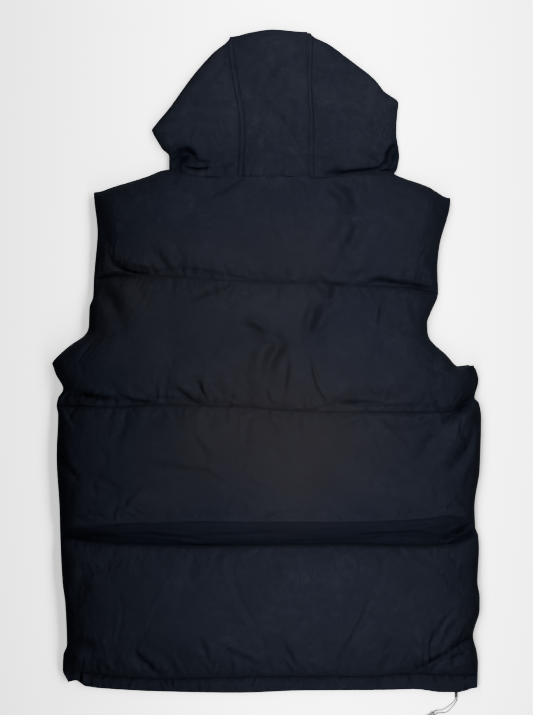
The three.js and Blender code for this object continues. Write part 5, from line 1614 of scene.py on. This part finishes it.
# %% Hood centre panel
CENTRE_FOLDS = [
    ([(-0.002, 0.408), (0.006, 0.392), (0.017, 0.376)], 0.006, -0.0022, 0.5),
    ([(0.004, 0.352), (0.015, 0.335), (0.031, 0.314), (0.044, 0.285)], 0.0062, -0.0026, 0.5),
    ([(0.032, 0.437), (0.037, 0.404)], 0.0055, -0.0018, 0.5),
    ([(-0.03, 0.344), (0.000, 0.345), (0.03, 0.349), (0.056, 0.353)], 0.0022, -0.0006, 0.4),
    ([(-0.022, 0.3), (-0.012, 0.33)], 0.008, -0.0014, 0.4),
    ([(-0.015, 0.425), (0.000, 0.432)], 0.006, -0.0012, 0.4),
    ([(0.01, 0.272), (0.02, 0.29)], 0.006, -0.0014, 0.4),
]


def under_line(seam, y):
    """The same seam on the underside, straight from the crown to the forehead."""
    return mix(seam(FOREHEAD_Y), seam.end[1], (y - FOREHEAD_Y) / (seam.end[0] - FOREHEAD_Y))


def centre_layer(layer, w, folds):
    """One layer of the centre panel, from its rows' shares of the way down: its face and its back."""
    u = clustered(64, 0.5)[None, :]
    crown_x = mix(hood_seam_left.end[1], hood_seam_right.end[1], u)
    fold_y = hood_crown(crown_x)
    line = (lambda seam, y: seam(y)) if layer > 0 else under_line

    def place(y):
        return mix(line(hood_seam_left, y) - SEAM_LAP, line(hood_seam_right, y) + SEAM_LAP, u)

    def end_at(x):
        return top_edge(x) if layer > 0 else FOREHEAD_Y + 0 * x

    end = end_at(place(end_at(crown_x)))
    y, inner_y = mix(fold_y, end, w), mix(fold_y - HOOD_FOLD_WALL, end, w)
    x = place(y)
    aside = np.minimum(u, 1 - u) * (line(hood_seam_right, y) - line(hood_seam_left, y))
    sewn, neck = (SEAM_PUFF, NECK_SWELL) if layer > 0 else (0, 0)
    puff = mix(sewn, 1, rise(aside / HOOD_SEAM_ROUND)) * mix(neck, 1, smooth((y - end) / HOOD_SEAM_ROUND))
    reach = (upper_face if layer > 0 else lower_face)(fold_y - y, puff)
    shift = fold_height(x, y, folds) * smooth(puff / 0.4) * smooth((fold_y - y) / 0.012)
    face = np.maximum(0, EDGE_LAYER + layer * (reach + shift)) + (neck_rise(x, y - end) if layer > 0 else 0)
    back_height = EDGE_LAYER + layer * HALF_HOLLOW * np.minimum(1, 4 * w) + 0 * x
    return np.stack([x, y, face], -1), np.stack([place(inner_y), inner_y, back_height], -1)


def hood_centre_panel():
    neck = puckers(90, top_edge, True, 0.012, 0.026, 0.0034, 0.0020, (-0.022, 0.050))
    faint = faint_creases(93, 26, (-0.03, 0.26), (0.05, 0.43), 0.0034, 0.0009)
    top, top_back = centre_layer(1, clustered(120, 0.5)[::-1, None], CENTRE_FOLDS + neck + faint)
    under, under_back = centre_layer(-1, clustered(34, 0.5)[1:, None], [])
    outer, inner = np.concatenate([top, under]), np.concatenate([top_back, under_back])
    return padded_wall("hood_centre_panel", outer, inner, shell)


hood_centre = hood_centre_panel()
print("hood centre:", len(hood_centre.data.polygons), "faces")

# %% [markdown]
# ## Stitches
# Each stitch is a small spindle of thread that lies half sunk in the cloth. A run of them is laid
# along a line, at the height of the cloth below, and made as one mesh.

# %% Stitches
STITCH_PITCH, STITCH_SHARE = 0.0031, 0.74
STITCH_RADIUS = 0.00032


def surface_of(*pieces):
    """A tree that finds the top of the pieces at a place."""
    points, faces = [], []
    for piece in pieces:
        count, sides = len(piece.data.vertices), len(piece.data.polygons)
        coordinates = np.empty(count * 3, np.float32)
        piece.data.vertices.foreach_get("co", coordinates)
        corners = np.empty(sides * 4, np.int32)
        piece.data.polygons.foreach_get("vertices", corners)
        faces += (corners.reshape(-1, 4) + len(points)).tolist()
        points += coordinates.reshape(-1, 3).tolist()
    return BVHTree.FromPolygons(points, faces)


def spaced(line, pitch):
    """Places along a line of (x, y) at an even pitch, with the direction at each."""
    line = np.asarray(line, float)
    lengths = np.concatenate([[0], np.cumsum(np.linalg.norm(np.diff(line, axis=0), axis=1))])
    at = np.arange(pitch / 2, lengths[-1], pitch)
    places = np.stack([np.interp(at, lengths, line[:, k]) for k in (0, 1)], -1)
    ahead = np.gradient(places, axis=0)
    return places, ahead / np.linalg.norm(ahead, axis=1)[:, None]


def stitches(name, tree, lines):
    """Runs of stitches along lines, on the top of a surface."""
    random = np.random.default_rng(len(name))
    half = STITCH_PITCH * STITCH_SHARE / 2
    points, faces = [], []
    for line in lines:
        for (x, y), (ax, ay) in zip(*spaced(line, STITCH_PITCH)):
            hit = tree.ray_cast((x, y, 0.2), (0, 0, -1))
            if hit[0] is None:
                continue
            normal = hit[1] if hit[1].z > 0 else -hit[1]
            turn = random.normal(0, 0.05)
            ahead = Vector((ax - turn * ay, ay + turn * ax, 0))
            ahead = (ahead - normal * ahead.dot(normal)).normalized()
            aside = normal.cross(ahead)
            middle = hit[0] + normal * STITCH_RADIUS * 0.25
            sunk = normal * STITCH_RADIUS * 0.6
            start = len(points)
            points.append(middle - ahead * half - sunk)
            for share in (-0.55, 0.55):
                for k in range(4):
                    ring = math.cos(k * math.pi / 2) * aside + math.sin(k * math.pi / 2) * normal
                    points.append(middle + ahead * half * share + ring * STITCH_RADIUS)
            points.append(middle + ahead * half - sunk)
            for k in range(4):
                a, b = start + 1 + k, start + 1 + (k + 1) % 4
                faces += [(start, b, a), (a, b, b + 4), (a, b + 4, a + 4), (a + 4, b + 4, start + 9)]
    points = np.array([tuple(point) for point in points])
    return link(name, points, faces, thread)


def across(seam, start, end, shift=0.0, count=240):
    """A line of places along a seam that runs across the vest."""
    x = np.linspace(start, end, count)
    return np.stack([x, seam(x) + shift], -1)


def along(seam, start, end, shift=0.0, count=120):
    """A line of places along a seam that runs up the vest."""
    y = np.linspace(start, end, count)
    return np.stack([seam(y) + shift, y], -1)


back_tree = surface_of(back)
hem_tree = surface_of(hem_back)
hood_tree = surface_of(hood_left, hood_centre, hood_right)
quilted = (low_seam, mid_seam, high_seam)
quilting = [across(seam, seam.start[0] + 0.004, seam.end[0] - 0.004) for seam in quilted]
back_stitches = stitches("quilting_stitches", back_tree, quilting)
hem_stitches = stitches("hem_stitches", hem_tree, [across(hem_seam, -0.274, 0.286, -0.0026)])
strip_rows = []
for side, seam in ((-1, hood_seam_left), (1, hood_seam_right)):
    for row in STITCH_ROWS:
        strip_rows.append(along(seam, 0.260, 0.436, side * row))
hood_stitches = stitches("hood_strip_stitches", hood_tree, strip_rows)
print("stitches:", sum(len(p.data.polygons) // 16 for p in (back_stitches, hem_stitches, hood_stitches)))

# %% [markdown]
# ## Zip
# The zip runs down the front, so it faces the floor. Two narrow tapes carry moulded teeth that
# alternate from side to side. One tooth is shaped with edit-mode operators and its mesh is
# repeated. The slider and its pull lie on them.

# %% Zip tapes
TAPE_WIDTH, TAPE_THICKNESS, TAPE_DROP, TAPE_APART = 0.0096, 0.001, 0.0004, 0.0008
TEETH_DROP, TEETH_THICKNESS, TEETH_WIDTH = 0.0017, 0.0022, 0.006
TOOTH_PITCH = 0.0029


def zip_tape(name, side):
    y = np.linspace(ZIP_BOTTOM, ZIP_TOP, 460)[:, None]
    s = np.linspace(0, 1, 13)[None, :]
    x = ZIP_X + side * (TAPE_APART / 2 + TAPE_WIDTH * s) + 0 * y
    high = edge_layer(y) - TAPE_DROP + 0 * s
    waves = 0.00012 * np.sin(y * 900) * np.sin(s * 9)
    low = high - TAPE_THICKNESS * (1 - 0.35 * smooth((s - 0.86) / 0.14)) + waves
    face = np.stack([x, y + 0 * x, low], -1)
    return padded_wall(name, face, np.stack([x, y + 0 * x, high], -1), tape)


tape_left, tape_right = zip_tape("zip_tape_left_ribbon", -1), zip_tape("zip_tape_right_ribbon", 1)
print("zip tapes:", f"{ZIP_TOP - ZIP_BOTTOM:.3f} m long and {TAPE_WIDTH * 1000:.1f} mm wide each")

# %% [markdown]
# ## Zip teeth
# A moulded tooth grips the tape's edge with its foot and meets the teeth of the other side with a
# wider head.

# %% Zip teeth
def one_tooth():
    """A tooth that points to +X from its foot, with its top at 0."""
    tooth = add_block("tooth", (0.0034, 0.0013, TEETH_THICKNESS), (0.0017, 0, -TEETH_THICKNESS / 2))
    edit_faces(tooth, lambda at, normal: True, lambda: bpy.ops.mesh.subdivide(number_cuts=2))
    edit_faces(
        tooth,
        lambda at, normal: abs(normal.y) > 0.9 and at.x > 0.0022,
        lambda: bpy.ops.mesh.inset(thickness=0.00008, depth=0.00022),
    )
    edit_faces(
        tooth,
        lambda at, normal: normal.z < -0.9 and at.x < 0.0013,
        lambda: bpy.ops.mesh.inset(thickness=0.0001, depth=0.00015),
    )
    return round_off(tooth, 0.00012, segments=1, angle=40, material=teeth_plastic)


def zip_teeth():
    tooth = one_tooth()
    mesh = tooth.data
    count = len(mesh.vertices)
    points = np.empty(count * 3, np.float32)
    mesh.vertices.foreach_get("co", points)
    points = points.reshape(-1, 3)
    mesh.calc_loop_triangles()
    triangles = np.array([t.vertices[:] for t in mesh.loop_triangles])
    all_points, all_faces = [], []
    bottom, top = ZIP_BOTTOM + 0.0125, ZIP_TOP - 0.003
    for k, y in enumerate(np.arange(bottom + 0.001, top - 0.001, TOOTH_PITCH / 2)):
        side = 1 if k % 2 else -1
        placed = points * (side, side, 1) + (ZIP_X - side * TEETH_WIDTH / 2, y, edge_layer(y) - TEETH_DROP)
        all_points.append(placed)
        all_faces.append(triangles + k * count)
    bpy.data.objects.remove(tooth, do_unlink=True)
    points, faces = np.concatenate(all_points), np.concatenate(all_faces)
    return link("zip_teeth_chain", points, faces, teeth_plastic, smooth_angle=35)


teeth = zip_teeth()
print("zip teeth:", len(teeth.data.polygons), "faces")

# %% [markdown]
# ## Slider, pull and box
# The slider's plate tapers to a nose, with lips along its sides and two lugs that hold the pull's
# pin. The pull is a flat tab with a slot and a rolled eye. It is the one piece that swings, so it
# rides on its own body.

# %% Slider, pull and box
SLIDER_Y = 0.219
SLIDER_FACE = EDGE_LAYER - TEETH_DROP - TEETH_THICKNESS - SEAM_GAP
PIN_Z, PIN_RADIUS, EYE_RADIUS, BORE_RADIUS = 0.0022, 0.0008, 0.0019, 0.0011


def rod(name, radius, length):
    """A rod across the zip through the pull's axis."""
    return add_rod(name, radius, length, (ZIP_X, SLIDER_Y, PIN_Z), (0, math.pi / 2, 0), sides=32)


def zip_slider():
    plate = add_block("plate", (0.0094, 0.014, 0.0012), (ZIP_X, SLIDER_Y, SLIDER_FACE - 0.0006))
    edit_faces(plate, lambda at, normal: True, lambda: bpy.ops.mesh.subdivide(number_cuts=5))
    for vertex in plate.data.vertices:
        nose = smooth((SLIDER_Y - vertex.co.y) / 0.007)
        vertex.co.x = ZIP_X + (vertex.co.x - ZIP_X) * (1 - 0.34 * float(nose))
    edit_faces(
        plate,
        lambda at, normal: normal.z < -0.9 and abs(at.x - ZIP_X) < 0.0034 and abs(at.y - SLIDER_Y) < 0.0058,
        lambda: bpy.ops.mesh.inset(thickness=0.0005, depth=-0.0003),
    )
    round_off(plate, 0.0003, segments=2, angle=50)
    parts = [plate]
    for side in (-1, 1):
        place = (ZIP_X + side * 0.00275, SLIDER_Y, 0.0028)
        lug = add_block("lug", (0.0013, 0.0044, 0.0038), place)
        edit_faces(
            lug,
            lambda at, normal: normal.z < -0.9,
            lambda: bpy.ops.transform.resize(value=(1, 0.55, 1), center_override=place),
        )
        parts.append(round_off(lug, 0.00035, segments=2))
    parts.append(round_off(rod("pin", PIN_RADIUS, 0.0062), 0.0002, segments=2))
    return join("zip_slider_body", *parts)


def zip_pull():
    bottom = PIN_Z - EYE_RADIUS
    eye = rod("eye", EYE_RADIUS, 0.0036)
    end, neck_end = SLIDER_Y - 0.034, SLIDER_Y - 0.005
    tab = add_block("tab", (0.007, neck_end - end, 0.0017), (ZIP_X, (end + neck_end) / 2, bottom + 0.00085))
    edit_faces(tab, lambda at, normal: abs(normal.x) < 0.9, lambda: bpy.ops.mesh.subdivide(number_cuts=6))
    for vertex in tab.data.vertices:
        reach = (vertex.co.y - end) / (neck_end - end)
        vertex.co.x = ZIP_X + (vertex.co.x - ZIP_X) * (1 - 0.30 * float(smooth((reach - 0.55) / 0.45)))
    slot = add_block("slot", (0.003, 0.012, 0.006), (ZIP_X, end + 0.010, bottom + 0.0008))
    tab = round_off(cut_with(tab, round_off(slot, 0.0012)), 0.0004, segments=2, angle=50)
    neck = add_block("neck", (0.0036, 0.0068, 0.0017), (ZIP_X, SLIDER_Y - 0.0034, bottom + 0.00085))
    bored_parts = [cut_with(part, rod("bore", BORE_RADIUS, 0.02)) for part in (eye, neck)]
    rounded = [round_off(part, 0.0002, segments=1, angle=50) for part in bored_parts]
    return join("zip_pull_tab", tab, *rounded)


def zip_box():
    top = HEM_LAYER - TEETH_DROP
    box = add_block("zip_box_block", (0.008, 0.0107, 0.0032), (ZIP_X, ZIP_BOTTOM + 0.00635, top - 0.0016))
    edit_faces(
        box,
        lambda at, normal: normal.z < -0.9,
        lambda: bpy.ops.mesh.inset(thickness=0.0011, depth=-0.0004),
    )
    return round_off(box, 0.0005, segments=2, material=teeth_plastic)


slider, pull = finish_with(zip_slider(), metal), finish_with(zip_pull(), metal)
stop_box = zip_box()
print("slider, pull and box:", [len(p.data.polygons) for p in (slider, pull, stop_box)], "faces")

# %% [markdown]
# ## Floor and light
# The vest lies on a plain pale floor that shines a little of its own, so that it is as light as the
# photo's. A long soft strip hangs close over the back, from the hood to the hem, so that the cloth
# darkens towards the sides. A weaker light stands far off at the upper right, and an even sky fills
# the rest, so that the creases show without hard shadows.

# %% Floor and light
def floor_finish():
    graph = Graph("pale floor")
    place = graph.node("TexCoord", output=3)
    tone = graph.colour_mix(graph.noise(place, 3.0), (0.80, 0.80, 0.80, 1), (0.84, 0.84, 0.84, 1))
    lit = {"Emission_Color": (1, 1, 1, 1), "Emission_Strength": 0.9}
    return graph.finish(Base_Color=tone, Roughness=0.9, Specular_IOR_Level=0.2, **lit)


def area_light(name, place, towards, size, power):
    light = bpy.data.objects.new(name, bpy.data.lights.new(name, "AREA"))
    light.data.shape = "RECTANGLE"
    light.data.size, light.data.size_y = size
    light.data.energy = power
    light.location = place
    if towards:
        light.rotation_euler = (Vector(towards) - Vector(place)).to_track_quat("-Z", "Y").to_euler()
    light.visible_camera = False
    scene.collection.objects.link(light)
    return light


bpy.ops.object.select_all(action="DESELECT")
bpy.ops.mesh.primitive_plane_add(size=12, location=(0, 0, -0.0004))
floor = bpy.context.object
floor.name = "floor"
floor.data.materials.append(floor_finish())
area_light("strip", (0.085, 0.17, 0.42), None, (0.22, 1.85), 44)
area_light("key", (1.5, 1.8, 2.2), (0, 0, 0), (1.4, 1.4), 20)
world = bpy.data.worlds.new("sky")
scene.world = world
world.use_nodes = True
world.node_tree.nodes["Background"].inputs["Color"].default_value = (0.95, 0.97, 1.0, 1)
world.node_tree.nodes["Background"].inputs["Strength"].default_value = 0.25

# %% [markdown]
# ## What stands for what
# Every piece rides on its body and stands for the solids that it covers, which are hidden.

# %% Pieces on their bodies
PIECES = [
    (back, "shell", ["back_panel"]),
    (front_left, "shell", ["front_left"]),
    (front_right, "shell", ["front_right"]),
    (hem_back, "shell", ["hem_back"]),
    (hem_front_left, "shell", ["hem_front_left"]),
    (hem_front_right, "shell", ["hem_front_right"]),
    (hood_centre, "shell", ["hood_centre"]),
    (hood_left, "shell", ["hood_left"]),
    (hood_right, "shell", ["hood_right"]),
    (back_stitches, "shell", []),
    (hem_stitches, "shell", []),
    (hood_stitches, "shell", []),
    (tape_left, "tape", ["zip_tape_left"]),
    (tape_right, "tape", ["zip_tape_right"]),
    (teeth, "teeth", ["zip_teeth"]),
    (stop_box, "teeth", ["zip_box"]),
    (slider, "slider", ["zip_slider"]),
    (sleeve, "tape", ["cord_sleeve"]),
    (cord, "elastic", ["drawcord"]),
    (cord_lock_piece, "lock", ["cord_lock"]),
]
for piece, finish, nodes in PIECES:
    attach(piece, "vest")
    if nodes:
        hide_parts(*nodes)
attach(pull, "pull")
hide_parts("zip_pull")

print("pieces:", len(PIECES) + 1)
